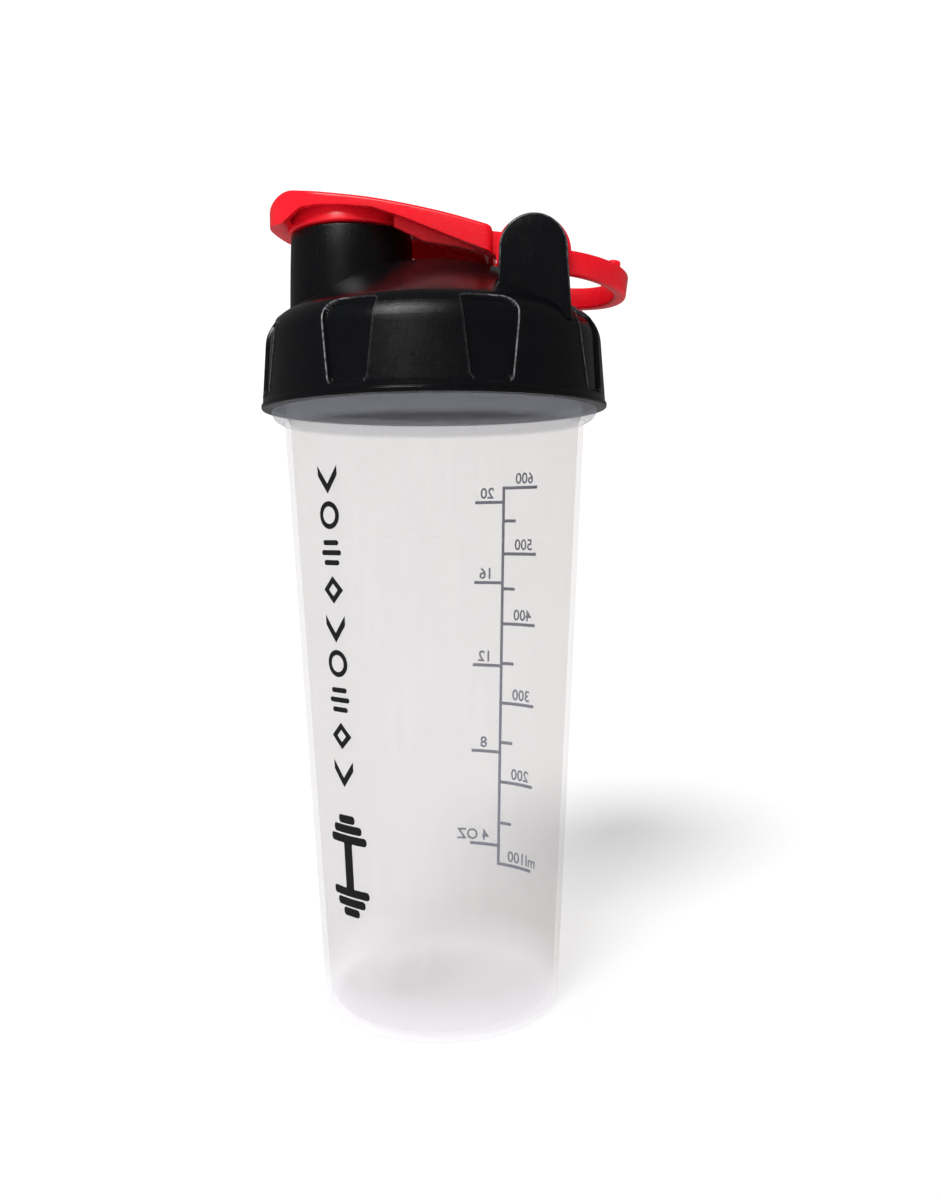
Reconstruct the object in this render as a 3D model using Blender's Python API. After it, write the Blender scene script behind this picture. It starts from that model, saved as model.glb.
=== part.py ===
"""A protein shaker bottle: a tapered cup, a screw lid with a drinking spout, the lid's seal, a
mixing grid, and a flip cap and a carry loop that turn on one hinge pin.

Lengths are millimetres until mesh_object() turns them into metres. +Z is up and the origin is
the middle of the base. The spout is on -X, the hinge on +X, and the hinge pin lies along Y.
"""

from math import cos, hypot, radians, sin

import bmesh
import bpy
from mathutils import Matrix, Vector

MM = 0.001
SIDES = 60
RIB_SIDES = 40
SPOUT_SIDES = 48
LUG_SIDES = 40
PIN_SIDES = 24
SMOOTH_ANGLE = radians(35)
SEAM_WELD = 0.000002  # metres
OVERLAP = 0.5  # how far a shape reaches into the one it is joined to
GAP = 0.3  # clearance between two pieces that touch in the real bottle
THROUGH = 4.0  # how far a cutting shape stands out of what it cuts

# Cup: a cone with a flared collar under a straight threaded neck.
BASE_R = 34.0
COLLAR_ROOT_R = 42.25
COLLAR_ROOT_Z = 166.3
COLLAR_FLARE = 3.6
CUP_WALL = 1.6
CUP_FLOOR_Z = 2.4
CUP_FLOOR_FILLET = 3.0
FOOT_FILLET = 2.5
NECK_R = 43.4
NECK_TOP_Z = 184.0
NECK_LIP_R = 0.8

# Thread: one right-handed start, with the lid's rib half a pitch under the neck's.
PITCH = 5.0
NECK_RIB_Z = 174.0
NECK_RIB_TURNS = (0.0, 1.25)
LID_RIB_TURNS = (0.2, 1.3)
RIB_ROOT_HALF = 1.0
RIB_CREST_HALF = 0.5
RIB_HEIGHT = 1.1
LID_BORE_R = 45.0

# Lid: skirt, shoulder, sloping roof and flat top.
RIM_Z = 170.2
LIP_R = 48.6
LIP_HEIGHT = 1.3
SKIRT_FOOT_R = 48.35
LIP_STEP = 0.3  # the bevel above the lip
LIP_BEVEL = (0.5, 0.4)  # the bevel under it, across and up
SKIRT_TOP = (46.9, 189.5)
SHOULDER = ((46.25, 191.1), (44.9, 193.4), (42.3, 195.6))
CROWN = ((22.0, 207.4), (19.0, 208.4))
TOP_R = 15.0
TOP_Z = 208.7
ROOF_WALL = 2.3
SEAL_SEAT_Z = 186.6
PLUG_RING_R = (39.7, 41.3)
PLUG_RING_FOOT_Z = 177.5

# Grip panels: four shallow recesses round the skirt, each with a raised pad in the middle.
GRIPS = 4
RECESS_DEPTH = 1.0
RECESS_HALF_ANGLE = (28.5, 32.5)  # degrees, at the foot and at the top
PAD_HALF_ANGLE = (16.0, 13.5)
RECESS_Z = (173.6, 197.0)
RECESS_TOP_NARROWS = 7.0  # degrees, over the shoulder
RECESS_SHOULDER_SLOPE = 0.85  # how fast the recess's floor draws in over the shoulder
RECESS_CLEAR = 3.0  # how far the recess's tool stands out of the skirt
PAD_TOP_Z = 191.2
PAD_PROUD = 0.15
PAD_ROOT = 1.0  # how far the pad's tool reaches inside the bore

# Spout, ears and hinge.
SPOUT_X = -23.0
SPOUT_R = (17.5, 17.1)  # at the foot and at the rim
SPOUT_RIM_Z = 219.0
SPOUT_FOOT_Z = 193.0
SPOUT_EDGE = 0.8
SPOUT_BORE_R = 14.6
HINGE = (28.1, 0.0, 208.2)
EAR_R = 8.8
EAR_FOOT_HALF = 9.8
EAR_FOOT_Z = 190.0
EAR_Y = (24.8, 29.0)
PIN_R = 1.5
PIN_HOLE_R = 1.8
PIN_HOLE_END_Y = 30.0
PIN_Y = (-27.4, 28.8)

# Carry loop: two lugs beside the ears and a flat band between them.
LUG_R = 9.8
LUG_Y = (20.9, 24.4)
LUG_POCKET_R = 10.2
LUG_LINER_R = 12.2
LUG_GAP = 0.4
LINER_WALL = (1.6, 2.0)  # towards the middle and inside the ear
LOOP_TILT = radians(7.7)
LOOP_BAND_Z = (-5.1, 1.9)  # below and above the hinge, across the tilted band
LOOP_BAND_T = 3.4
LOOP_ARM = 6.5
LOOP_REACH = 26.6
LOOP_NUB_R = 1.7
LOOP_NUB_HEIGHT = 1.2
LOOP_NUB = (21.6, 13.0)

# Flip cap: a curved shell with side walls, a plug for the spout and two knuckles.
CAP_TOP = ((-47.0, 224.6), (-45.4, 227.3), (-40.0, 228.3), (-32.0, 227.0), (-14.4, 224.7),
           (3.2, 220.4), (17.4, 215.9))
CAP_BOTTOM = ((16.2, 209.2), (7.4, 213.1), (-5.5, 218.8), (-14.4, 222.0), (-23.0, 223.05),
              (-32.0, 223.3), (-38.6, 222.9), (-40.4, 219.8), (-45.4, 220.5), (-47.0, 222.4))
CAP_SHELL = 2.2
CAP_NOSE_SOLID_X = -41.5
CAP_NOSE_R = 19.0
CAP_TAIL_HALF = 22.3
PLUG_R = 14.1
PLUG_FOOT_Z = 215.5
PLUG_FLANGE_R = 17.8
PLUG_EDGE = 1.0
PLUG_WALL = 1.8
PLUG_HOLLOW_TOP_Z = 220.0
KNUCKLE_R = 5.2
KNUCKLE_Y = (15.0, 20.5)
KNUCKLE_WEB = 6.0  # how far the knuckles' webs reach under the cap's top

# Seal and mixing grid.
SEAL_R = (41.7, 44.5)
SEAL_Z = (184.3, 186.3)
GRID_R = (36.9, 39.3)
GRID_Z = (176.4, 183.0)
GRID_PLATE = 1.6
GRID_PITCH = 7.6
GRID_HOLE = 5.8

FROSTED = ("frosted polypropylene", (0.80, 0.79, 0.78), 0.35, 0.0)
BLACK = ("black polypropylene", (0.010, 0.011, 0.013), 0.25, 0.0)
RED = ("red polypropylene", (0.92, 0.02, 0.04), 0.22, 0.0)
SILICONE = ("clear silicone", (0.72, 0.73, 0.74), 0.45, 0.0)
STEEL = ("stainless steel", (0.62, 0.62, 0.63), 0.28, 1.0)


def clear_scene():
    """Removes the objects that are open when the script starts."""
    for old in list(bpy.data.objects):
        bpy.data.objects.remove(old, do_unlink=True)


def material(finish):
    """Returns the Principled material for a finish, made once."""
    name, colour, roughness, metallic = finish
    made = bpy.data.materials.get(name)
    if made is None:
        made = bpy.data.materials.new(name)
        made.use_nodes = True
        shader = made.node_tree.nodes["Principled BSDF"]
        shader.inputs["Base Color"].default_value = (*colour, 1.0)
        shader.inputs["Roughness"].default_value = roughness
        shader.inputs["Metallic"].default_value = metallic
    return made


def mesh_object(name, bm):
    """Turns a bmesh in millimetres into an object in metres, with its faces pointing out."""
    bmesh.ops.recalc_face_normals(bm, faces=bm.faces)
    bmesh.ops.scale(bm, vec=(MM, MM, MM), verts=bm.verts)
    mesh = bpy.data.meshes.new(name)
    bm.to_mesh(mesh)
    bm.free()
    made = bpy.data.objects.new(name, mesh)
    bpy.context.scene.collection.objects.link(made)
    return made


def finish_piece(piece, finish, pivot=None):
    """Gives a piece its material, smooth shading and, where it turns, its origin on the axis."""
    piece.data.materials.append(material(finish))
    piece.data.shade_smooth()
    piece.data.set_sharp_from_angle(angle=SMOOTH_ANGLE)
    if piece.modifiers:
        weld = piece.modifiers.new("weld seams", "WELD")
        weld.merge_threshold = SEAM_WELD
    if pivot is not None:
        place = Vector(pivot) * MM
        piece.data.transform(Matrix.Translation(-place))
        piece.location = place
    return piece


def combine(piece, tool, operation):
    """Adds a Boolean with a tool, which is then only a guide."""
    change = piece.modifiers.new(f"{operation.lower()} {tool.name}", "BOOLEAN")
    change.operation = operation
    change.solver = "EXACT"
    change.object = tool
    tool.hide_render = True
    tool.display_type = "WIRE"


def arc(centre, radius, start, end, steps):
    """Points on an arc in a plane, with its angles in degrees."""
    turns = [radians(start + (end - start) * i / steps) for i in range(steps + 1)]
    return [(centre[0] + radius * cos(t), centre[1] + radius * sin(t)) for t in turns]


def turned(name, outline, closed=True, sweep=360.0, start=0.0, steps=SIDES, climb=0.0):
    """Turns an outline of (radius, height) points about Z, through part of a turn or up a helix.

    An outline that isn't closed starts and ends on the axis.
    """
    bm = bmesh.new()
    turn = Matrix.Rotation(radians(start), 3, "Z")
    row = [bm.verts.new(turn @ Vector((r, 0.0, z))) for r, z in outline]
    edges = [bm.edges.new(pair) for pair in zip(row, row[1:])]
    if closed:
        edges.append(bm.edges.new((row[-1], row[0])))
    whole = sweep == 360.0 and climb == 0.0
    bmesh.ops.spin(bm, geom=row + edges, axis=(0, 0, 1), angle=radians(sweep), steps=steps,
                   dvec=(0, 0, climb / steps), use_merge=whole)
    if whole:
        bmesh.ops.remove_doubles(bm, verts=bm.verts, dist=1e-4)
    else:
        ends = [edge for edge in bm.edges if edge.is_boundary]
        bmesh.ops.holes_fill(bm, edges=ends, sides=0)
    return mesh_object(name, bm)


def add_prism(bm, outline, low, high, upright):
    """Extrudes an outline between two levels along Z or Y."""
    if upright == "Z":
        corners = [(x, y, low) for x, y in outline]
        step = Vector((0.0, 0.0, high - low))
    else:
        corners = [(x, low, z) for x, z in outline]
        step = Vector((0.0, high - low, 0.0))
    face = bm.faces.new([bm.verts.new(corner) for corner in corners])
    grown = bmesh.ops.extrude_face_region(bm, geom=[face])["geom"]
    moved = [item for item in grown if isinstance(item, bmesh.types.BMVert)]
    bmesh.ops.translate(bm, vec=step, verts=moved)


def prisms(name, outlines, low, high, upright="Z"):
    """One straight solid for each outline, between two levels along Z or Y."""
    bm = bmesh.new()
    for outline in outlines:
        add_prism(bm, outline, low, high, upright)
    return mesh_object(name, bm)


def disc(name, centre, radius, low, high, upright="Z", steps=SIDES):
    """A cylinder, round a centre given in the plane across it."""
    circle = arc(centre, radius, 0, 360, steps)[:-1]
    return prisms(name, [circle], low, high, upright)


def both_sides(name, outline, span):
    """Two mirrored solids of one outline, on the -Y and the +Y side."""
    bm = bmesh.new()
    for low, high in ((-span[1], -span[0]), span):
        add_prism(bm, outline, low, high, "Y")
    return mesh_object(name, bm)


def skirt_radius(z):
    """The lid skirt's outer radius at a height."""
    share = (z - RIM_Z) / (SKIRT_TOP[1] - RIM_Z)
    return SKIRT_FOOT_R + (SKIRT_TOP[0] - SKIRT_FOOT_R) * share


def thread_rib(name, root_r, outward, turns):
    """One helical rib, rooted at a radius and pointing outward (1) or inward (-1)."""
    crest_r = root_r + outward * RIB_HEIGHT
    root_r -= outward * OVERLAP
    first, last = turns
    low = NECK_RIB_Z + PITCH * first - (0 if outward > 0 else PITCH / 2)
    outline = [(root_r, low - RIB_ROOT_HALF), (crest_r, low - RIB_CREST_HALF),
               (crest_r, low + RIB_CREST_HALF), (root_r, low + RIB_ROOT_HALF)]
    sweep = 360.0 * (last - first)
    return turned(name, outline, sweep=sweep, start=360.0 * first,
                  steps=round(RIB_SIDES * (last - first)), climb=PITCH * (last - first))


def build_cup():
    """The cup: a flat foot, a tapered wall, a rolled collar and a threaded neck."""
    slope = (COLLAR_ROOT_R - BASE_R) / COLLAR_ROOT_Z
    foot = arc((BASE_R - FOOT_FILLET, FOOT_FILLET), FOOT_FILLET, -90, 0, 3)
    collar = arc((COLLAR_ROOT_R, COLLAR_ROOT_Z + COLLAR_FLARE), COLLAR_FLARE, -90, 0, 4)
    lip = arc((NECK_R - NECK_LIP_R, NECK_TOP_Z - NECK_LIP_R), NECK_LIP_R, 0, 180, 4)
    inner_foot = BASE_R + slope * CUP_FLOOR_Z - CUP_WALL
    inner = arc((inner_foot - CUP_FLOOR_FILLET, CUP_FLOOR_Z + CUP_FLOOR_FILLET),
                CUP_FLOOR_FILLET, 0, -90, 3)
    outline = [(0.0, 0.0)] + foot + collar + [(NECK_R, COLLAR_ROOT_Z + COLLAR_FLARE)] + lip
    outline += [(NECK_R - CUP_WALL, COLLAR_ROOT_Z + COLLAR_FLARE / 2),
                (COLLAR_ROOT_R - CUP_WALL, COLLAR_ROOT_Z)]
    outline += inner + [(0.0, CUP_FLOOR_Z)]
    cup = turned("cup", outline, closed=False)
    combine(cup, thread_rib("neck rib", NECK_R, 1, NECK_RIB_TURNS), "UNION")
    return finish_piece(cup, FROSTED)


def roof_outline():
    """The lid's outer side from the rim to the middle of its top."""
    lip_top = RIM_Z + LIP_HEIGHT
    return [(LIP_R - LIP_BEVEL[0], RIM_Z), (LIP_R, RIM_Z + LIP_BEVEL[1]), (LIP_R, lip_top),
            (skirt_radius(lip_top + LIP_STEP), lip_top + LIP_STEP), SKIRT_TOP,
            *SHOULDER, *CROWN, (TOP_R, TOP_Z)]


def grip_band(name, half_angles, heights, outer, inner):
    """A block on each grip's place, between two radii and narrowing as its half angle does."""
    bm = bmesh.new()
    steps = 8
    for grip in range(GRIPS):
        middle = radians(-90 + 360 * grip / GRIPS)
        rings = []
        for z, half in zip(heights, half_angles):
            angles = [middle + radians(half) * (2 * i / steps - 1) for i in range(steps + 1)]
            edge = [bm.verts.new((outer(z) * cos(a), outer(z) * sin(a), z)) for a in angles]
            edge += [bm.verts.new((inner(z) * cos(a), inner(z) * sin(a), z))
                     for a in reversed(angles)]
            rings.append(edge)
        for low, high in zip(rings, rings[1:]):
            for i, corner in enumerate(low):
                bm.faces.new((low[i - 1], corner, high[i], high[i - 1]))
        bm.faces.new(rings[0])
        bm.faces.new(rings[-1])
    return mesh_object(name, bm)


def ear_outline():
    """An ear from the side: a round head on a foot that widens."""
    x, z = HINGE[0], HINGE[2]
    return [(x - EAR_FOOT_HALF, EAR_FOOT_Z), (x + EAR_FOOT_HALF, EAR_FOOT_Z)] + arc(
        (x, z), EAR_R, -4, 184, 18)


def cavity_outline():
    """The hollow under the lid, round the ring that fits inside the cup's neck."""
    inner, outer = PLUG_RING_R
    return [(0.0, RIM_Z - 1.0), (LID_BORE_R, RIM_Z - 1.0), (LID_BORE_R, SEAL_SEAT_Z),
            (outer, SEAL_SEAT_Z), (outer, PLUG_RING_FOOT_Z), (inner, PLUG_RING_FOOT_Z),
            (inner, SHOULDER[-1][1] - 1.0), (CROWN[0][0], CROWN[0][1] - ROOF_WALL),
            (0.0, TOP_Z - ROOF_WALL)]


def build_screw_lid():
    """The screw lid with its grip panels, spout, hinge ears, lug pockets and thread."""
    lid = turned("screw_lid", [(0.0, RIM_Z)] + roof_outline() + [(0.0, TOP_Z)], closed=False)
    under_roof = [(r, z - ROOF_WALL / 2) for r, z in roof_outline()]
    roof = turned("under roof", [(0.0, under_roof[0][1])] + under_roof +
                  [(0.0, under_roof[-1][1])], closed=False)

    def recess_floor(z):
        past = max(0.0, z - SKIRT_TOP[1])
        return skirt_radius(min(z, SKIRT_TOP[1])) - RECESS_DEPTH - RECESS_SHOULDER_SLOPE * past

    band_z = (RECESS_Z[0], SKIRT_TOP[1], RECESS_Z[1])
    foot_half, top_half = RECESS_HALF_ANGLE
    recess = grip_band("grip recess", (foot_half, top_half, top_half - RECESS_TOP_NARROWS), band_z,
                       lambda z: LIP_R + RECESS_CLEAR, recess_floor)
    pad = grip_band("grip pad", PAD_HALF_ANGLE, (RECESS_Z[0], PAD_TOP_Z),
                    lambda z: skirt_radius(z) + PAD_PROUD, lambda z: LID_BORE_R - PAD_ROOT)
    combine(lid, recess, "DIFFERENCE")
    combine(lid, pad, "UNION")

    foot_r, rim_r = SPOUT_R
    spout = [(0.0, SPOUT_FOOT_Z), (foot_r, SPOUT_FOOT_Z), (rim_r, SPOUT_RIM_Z - SPOUT_EDGE),
             (rim_r - SPOUT_EDGE, SPOUT_RIM_Z), (0.0, SPOUT_RIM_Z)]
    tube = turned("spout tube", spout, closed=False, steps=SPOUT_SIDES)
    tube.location.x = SPOUT_X * MM
    combine(lid, tube, "UNION")
    combine(lid, both_sides("ears", ear_outline(), EAR_Y), "UNION")

    cavity = turned("cavity", cavity_outline(), closed=False)
    combine(lid, cavity, "DIFFERENCE")
    bore = disc("spout bore", (SPOUT_X, 0.0), SPOUT_BORE_R, SPOUT_FOOT_Z - THROUGH,
                SPOUT_RIM_Z + THROUGH, steps=SPOUT_SIDES)
    combine(lid, bore, "DIFFERENCE")

    centre = (HINGE[0], HINGE[2])
    pocket_y = (LUG_Y[0] - LUG_GAP, EAR_Y[0])
    liner = both_sides("pocket liner", arc(centre, LUG_LINER_R, 0, 360, LUG_SIDES)[:-1],
                       (pocket_y[0] - LINER_WALL[0], pocket_y[1] + LINER_WALL[1]))
    combine(liner, roof, "INTERSECT")
    combine(lid, liner, "UNION")
    pocket = both_sides("lug pocket", arc(centre, LUG_POCKET_R, 0, 360, LUG_SIDES)[:-1], pocket_y)
    combine(lid, pocket, "DIFFERENCE")
    combine(lid, thread_rib("lid rib", LID_BORE_R, -1, LID_RIB_TURNS), "UNION")
    hole = disc("pin hole", centre, PIN_HOLE_R, PIN_Y[0] - GAP, PIN_HOLE_END_Y, "Y", PIN_SIDES)
    combine(lid, hole, "DIFFERENCE")
    return finish_piece(lid, BLACK)


def build_lid_seal():
    """The flat ring that the lid presses on the cup's rim."""
    inner, outer = SEAL_R
    low, high = SEAL_Z
    seal = turned("lid_seal", [(inner, low), (outer, low), (outer, high), (inner, high)])
    return finish_piece(seal, SILICONE)


def build_mixing_grid():
    """The sieve that clips into the lid: a short ring with a square mesh across its foot."""
    inner, outer = GRID_R
    low, high = GRID_Z
    grid = disc("mixing_grid", (0.0, 0.0), outer, low, high)
    inside = disc("grid inside", (0.0, 0.0), inner, low + GRID_PLATE, high + THROUGH)
    combine(grid, inside, "DIFFERENCE")
    reach = int(inner / GRID_PITCH)
    half = GRID_HOLE / 2
    squares = []
    for i in range(-reach, reach + 1):
        for j in range(-reach, reach + 1):
            x, y = i * GRID_PITCH, j * GRID_PITCH
            if hypot(abs(x) + half, abs(y) + half) < inner:
                squares.append([(x - half, y - half), (x + half, y - half),
                                (x + half, y + half), (x - half, y + half)])
    holes = prisms("grid holes", squares, low - THROUGH, low + GRID_PLATE + OVERLAP)
    combine(grid, holes, "DIFFERENCE")
    return finish_piece(grid, BLACK)


def cap_plan(inset=0.0):
    """The flip cap from above: a round nose on sides that widen towards the hinge."""
    nose_r = CAP_NOSE_R - inset
    tail = CAP_TAIL_HALF - inset
    nose_x = CAP_TOP[0][0] + CAP_NOSE_R
    end = CAP_TOP[-1][0] + THROUGH
    return arc((nose_x, 0.0), nose_r, 90, 270, 24) + [(end, -tail), (end, tail)]


def build_flip_cap():
    """The flip cap: a curved shell, the plug that seals the spout, and two knuckles."""
    wide = CAP_TAIL_HALF + THROUGH
    low = HINGE[2] - THROUGH
    above = CAP_TOP[2][1] + THROUGH
    tail_x, tail_z = CAP_TOP[-1]
    cap = prisms("flip_cap", [list(CAP_TOP) + list(CAP_BOTTOM)], -wide, wide, "Y")
    combine(cap, prisms("cap plan", [cap_plan()], low, above), "INTERSECT")

    hollow = [(x, z - CAP_SHELL) for x, z in CAP_TOP if x > CAP_NOSE_SOLID_X]
    past_tail = tail_x + 2 * THROUGH
    hollow += [(past_tail, tail_z - CAP_SHELL), (past_tail, low), (hollow[0][0], low)]
    core = prisms("cap core", [hollow], -wide, wide, "Y")
    combine(core, prisms("core plan", [cap_plan(CAP_SHELL)], low - THROUGH, above), "INTERSECT")
    combine(cap, core, "DIFFERENCE")

    plug = [(0.0, PLUG_FOOT_Z), (PLUG_R - PLUG_EDGE, PLUG_FOOT_Z),
            (PLUG_R, PLUG_FOOT_Z + PLUG_EDGE), (PLUG_R, SPOUT_RIM_Z + GAP),
            (PLUG_FLANGE_R, SPOUT_RIM_Z + GAP), (PLUG_FLANGE_R, above), (0.0, above)]
    stopper = turned("plug", plug, closed=False, steps=SPOUT_SIDES)
    stopper.location.x = SPOUT_X * MM
    inside_cap = [(x, z - CAP_SHELL / 2) for x, z in CAP_TOP]
    inside_cap += [(tail_x, PLUG_FOOT_Z - THROUGH), (CAP_TOP[0][0], PLUG_FOOT_Z - THROUGH)]
    combine(stopper, prisms("under the cap", [inside_cap], -wide, wide, "Y"), "INTERSECT")
    combine(cap, stopper, "UNION")
    cup_in_plug = disc("plug hollow", (SPOUT_X, 0.0), PLUG_R - PLUG_WALL,
                       PLUG_FOOT_Z - THROUGH, PLUG_HOLLOW_TOP_Z, steps=LUG_SIDES)
    combine(cap, cup_in_plug, "DIFFERENCE")

    x, z = HINGE[0], HINGE[2]
    web = [(tail_x - KNUCKLE_WEB, z + 3.6), (x, z - KNUCKLE_R + 0.4)]
    web += arc((x, z), KNUCKLE_R, -75, 75, 10)
    web += [(tail_x + 0.4, tail_z - 1.1), (tail_x - KNUCKLE_WEB, tail_z + 0.7)]
    combine(cap, both_sides("knuckles", web, KNUCKLE_Y), "UNION")
    hole = disc("cap pin hole", (x, z), PIN_HOLE_R, -wide, wide, "Y", PIN_SIDES)
    combine(cap, hole, "DIFFERENCE")
    return finish_piece(cap, RED, HINGE)


def loop_plan(inset):
    """The carry loop from above, relative to the hinge: two arms joined by half an ellipse."""
    half = LUG_Y[1] - inset
    reach = LOOP_REACH - LOOP_ARM - inset
    curve = [(LOOP_ARM + reach * x, half * y) for x, y in arc((0, 0), 1.0, -90, 90, 32)]
    return [(0.0, half), (0.0, -half)] + curve


def build_carry_loop():
    """The carry loop: a flat band between two lugs, sloping down from the hinge."""
    low, high = LOOP_BAND_Z
    band = prisms("carry_loop", [loop_plan(0.0)], low, high)
    window = prisms("loop window", [loop_plan(LOOP_BAND_T)], low - THROUGH, high + THROUGH)
    lugs = both_sides("lugs", arc((0.0, 0.0), LUG_R, 0, 360, LUG_SIDES)[:-1], LUG_Y)
    nubs = [disc(f"nub {side}", (LOOP_NUB[0], side * LOOP_NUB[1]), LOOP_NUB_R, 0.0,
                 high + LOOP_NUB_HEIGHT, steps=16) for side in (-1, 1)]
    wide = LUG_Y[1] + THROUGH
    hole = disc("loop pin hole", (0.0, 0.0), PIN_HOLE_R, -wide, wide, "Y", PIN_SIDES)
    lean = Matrix.Translation(Vector(HINGE) * MM) @ Matrix.Rotation(LOOP_TILT, 4, "Y")
    for shape in [band, window, lugs, hole] + nubs:
        shape.matrix_world = lean
    combine(band, window, "DIFFERENCE")
    combine(band, lugs, "UNION")
    for nub in nubs:
        combine(band, nub, "UNION")
    combine(band, hole, "DIFFERENCE")
    return finish_piece(band, RED)


def build_hinge_pin():
    """The pin that the cap and the loop turn on, pushed in through the +Y ear."""
    pin = disc("hinge_pin", (HINGE[0], HINGE[2]), PIN_R, PIN_Y[0], PIN_Y[1], "Y", PIN_SIDES)
    return finish_piece(pin, STEEL, HINGE)


def main():
    """Builds the whole bottle."""
    clear_scene()
    build_cup()
    build_screw_lid()
    build_lid_seal()
    build_mixing_grid()
    build_flip_cap()
    build_carry_loop()
    build_hinge_pin()


main()
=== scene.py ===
"""The looks of a protein shaker bottle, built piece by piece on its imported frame.

Sizes are millimetres in the row frame, +Z up, with the origin in the middle of the foot, the
spout on -X and the hinge on +X. Model.solid() turns a finished mesh into metres.
"""

import logging
from dataclasses import dataclass
from enum import Enum
from math import atan2, ceil, cos, degrees, hypot, pi, radians, sin, tan
from typing import Callable, Sequence

import bmesh
import bpy
import numpy as np
from mathutils import Matrix, Vector

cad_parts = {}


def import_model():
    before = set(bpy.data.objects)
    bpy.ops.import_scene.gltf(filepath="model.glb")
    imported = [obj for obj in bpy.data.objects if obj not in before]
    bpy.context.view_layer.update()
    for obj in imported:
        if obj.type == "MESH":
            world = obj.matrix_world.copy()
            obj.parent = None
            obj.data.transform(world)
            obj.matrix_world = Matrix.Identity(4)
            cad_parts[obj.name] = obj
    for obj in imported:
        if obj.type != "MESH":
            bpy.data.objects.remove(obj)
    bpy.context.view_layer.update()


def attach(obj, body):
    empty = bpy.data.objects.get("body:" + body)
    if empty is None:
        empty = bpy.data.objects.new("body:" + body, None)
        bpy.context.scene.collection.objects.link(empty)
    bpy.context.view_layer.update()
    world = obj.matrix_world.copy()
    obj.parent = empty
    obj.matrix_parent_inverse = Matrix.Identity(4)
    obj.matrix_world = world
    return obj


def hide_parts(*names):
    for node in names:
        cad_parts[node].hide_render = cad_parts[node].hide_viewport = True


MM = 0.001
LOG = logging.getLogger("shaker")
Point = tuple[float, float]
Corner = tuple[float, float, float]


class Operation(Enum):
    """The Boolean operations that shape a piece."""

    JOIN = "UNION"
    CUT = "DIFFERENCE"
    COMMON = "INTERSECT"


class Upright(Enum):
    """The direction in which an outline is extruded."""

    Z = "Z"
    Y = "Y"


# --------------------------------------------------------------------------- outlines


def arc(centre: Point, radius: float, start: float, end: float, steps: int) -> list[Point]:
    """Points on an arc.

    Args:
        centre: The arc's centre.
        radius: Its radius.
        start: The first point's angle in degrees.
        end: The last point's angle in degrees.
        steps: How many chords it has.

    Returns:
        steps + 1 points.
    """
    turns = [radians(start + (end - start) * i / steps) for i in range(steps + 1)]
    return [(centre[0] + radius * cos(t), centre[1] + radius * sin(t)) for t in turns]


def rounded(corners: Sequence[Corner], closed: bool = True, steps: int = 6) -> list[Point]:
    """An outline whose corners are rounded by arcs.

    Args:
        corners: (x, y, radius) of each corner; a radius of 0 keeps it sharp.
        closed: Whether the last corner joins the first. Otherwise both ends stay sharp.
        steps: How many chords each arc has.

    Returns:
        The outline's points.
    """
    points: list[Point] = []
    count = len(corners)
    for i, (x, y, radius) in enumerate(corners):
        here = Vector((x, y))
        is_end = not closed and i in (0, count - 1)
        before = Vector(corners[i - 1][:2]) - here
        after = Vector(corners[(i + 1) % count][:2]) - here
        if radius <= 0 or is_end or before.length < 1e-9 or after.length < 1e-9:
            points.append((x, y))
            continue
        before.normalize()
        after.normalize()
        half = before.angle(after) / 2
        if half > radians(89.5):
            points.append((x, y))
            continue
        reach = radius / tan(half)
        centre = here + (before + after).normalized() * (radius / sin(half))
        first = here + before * reach - centre
        last = here + after * reach - centre
        turn = atan2(first.x * last.y - first.y * last.x, first.dot(last))
        for k in range(steps + 1):
            a = turn * k / steps
            spoke = Vector((first.x * cos(a) - first.y * sin(a), first.x * sin(a) + first.y * cos(a)))
            points.append((centre.x + spoke.x, centre.y + spoke.y))
    return points


def split_long(points: Sequence[Point], longest: Callable[[Point], float]) -> list[Point]:
    """Splits the long chords of an open outline.

    Args:
        points: The outline.
        longest: Gives the longest chord that is wanted near a point.

    Returns:
        The outline with its long chords in equal parts.
    """
    result = [points[0]]
    for a, b in zip(points, points[1:]):
        middle = ((a[0] + b[0]) / 2, (a[1] + b[1]) / 2)
        parts = max(1, ceil(hypot(b[0] - a[0], b[1] - a[1]) / longest(middle)))
        result += [(a[0] + (b[0] - a[0]) * k / parts, a[1] + (b[1] - a[1]) * k / parts)
                   for k in range(1, parts + 1)]
    return result


def smooth_through(points: Sequence[Point], steps: int = 8) -> list[Point]:
    """A Catmull-Rom curve through an open row of points.

    Args:
        points: The points that the curve passes.
        steps: How many chords each stretch has.

    Returns:
        The curve's points.
    """
    ends = [points[0], *points, points[-1]]
    curve: list[Point] = []
    for i in range(1, len(ends) - 2):
        p0, p1, p2, p3 = (np.array(ends[k]) for k in (i - 1, i, i + 1, i + 2))
        for k in range(steps):
            t = k / steps
            at = 0.5 * (2 * p1 + (p2 - p0) * t + (2 * p0 - 5 * p1 + 4 * p2 - p3) * t * t
                        + (3 * p1 - p0 - 3 * p2 + p3) * t ** 3)
            curve.append((float(at[0]), float(at[1])))
    curve.append(points[-1])
    return curve


# --------------------------------------------------------------------------- mesh tools


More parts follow.
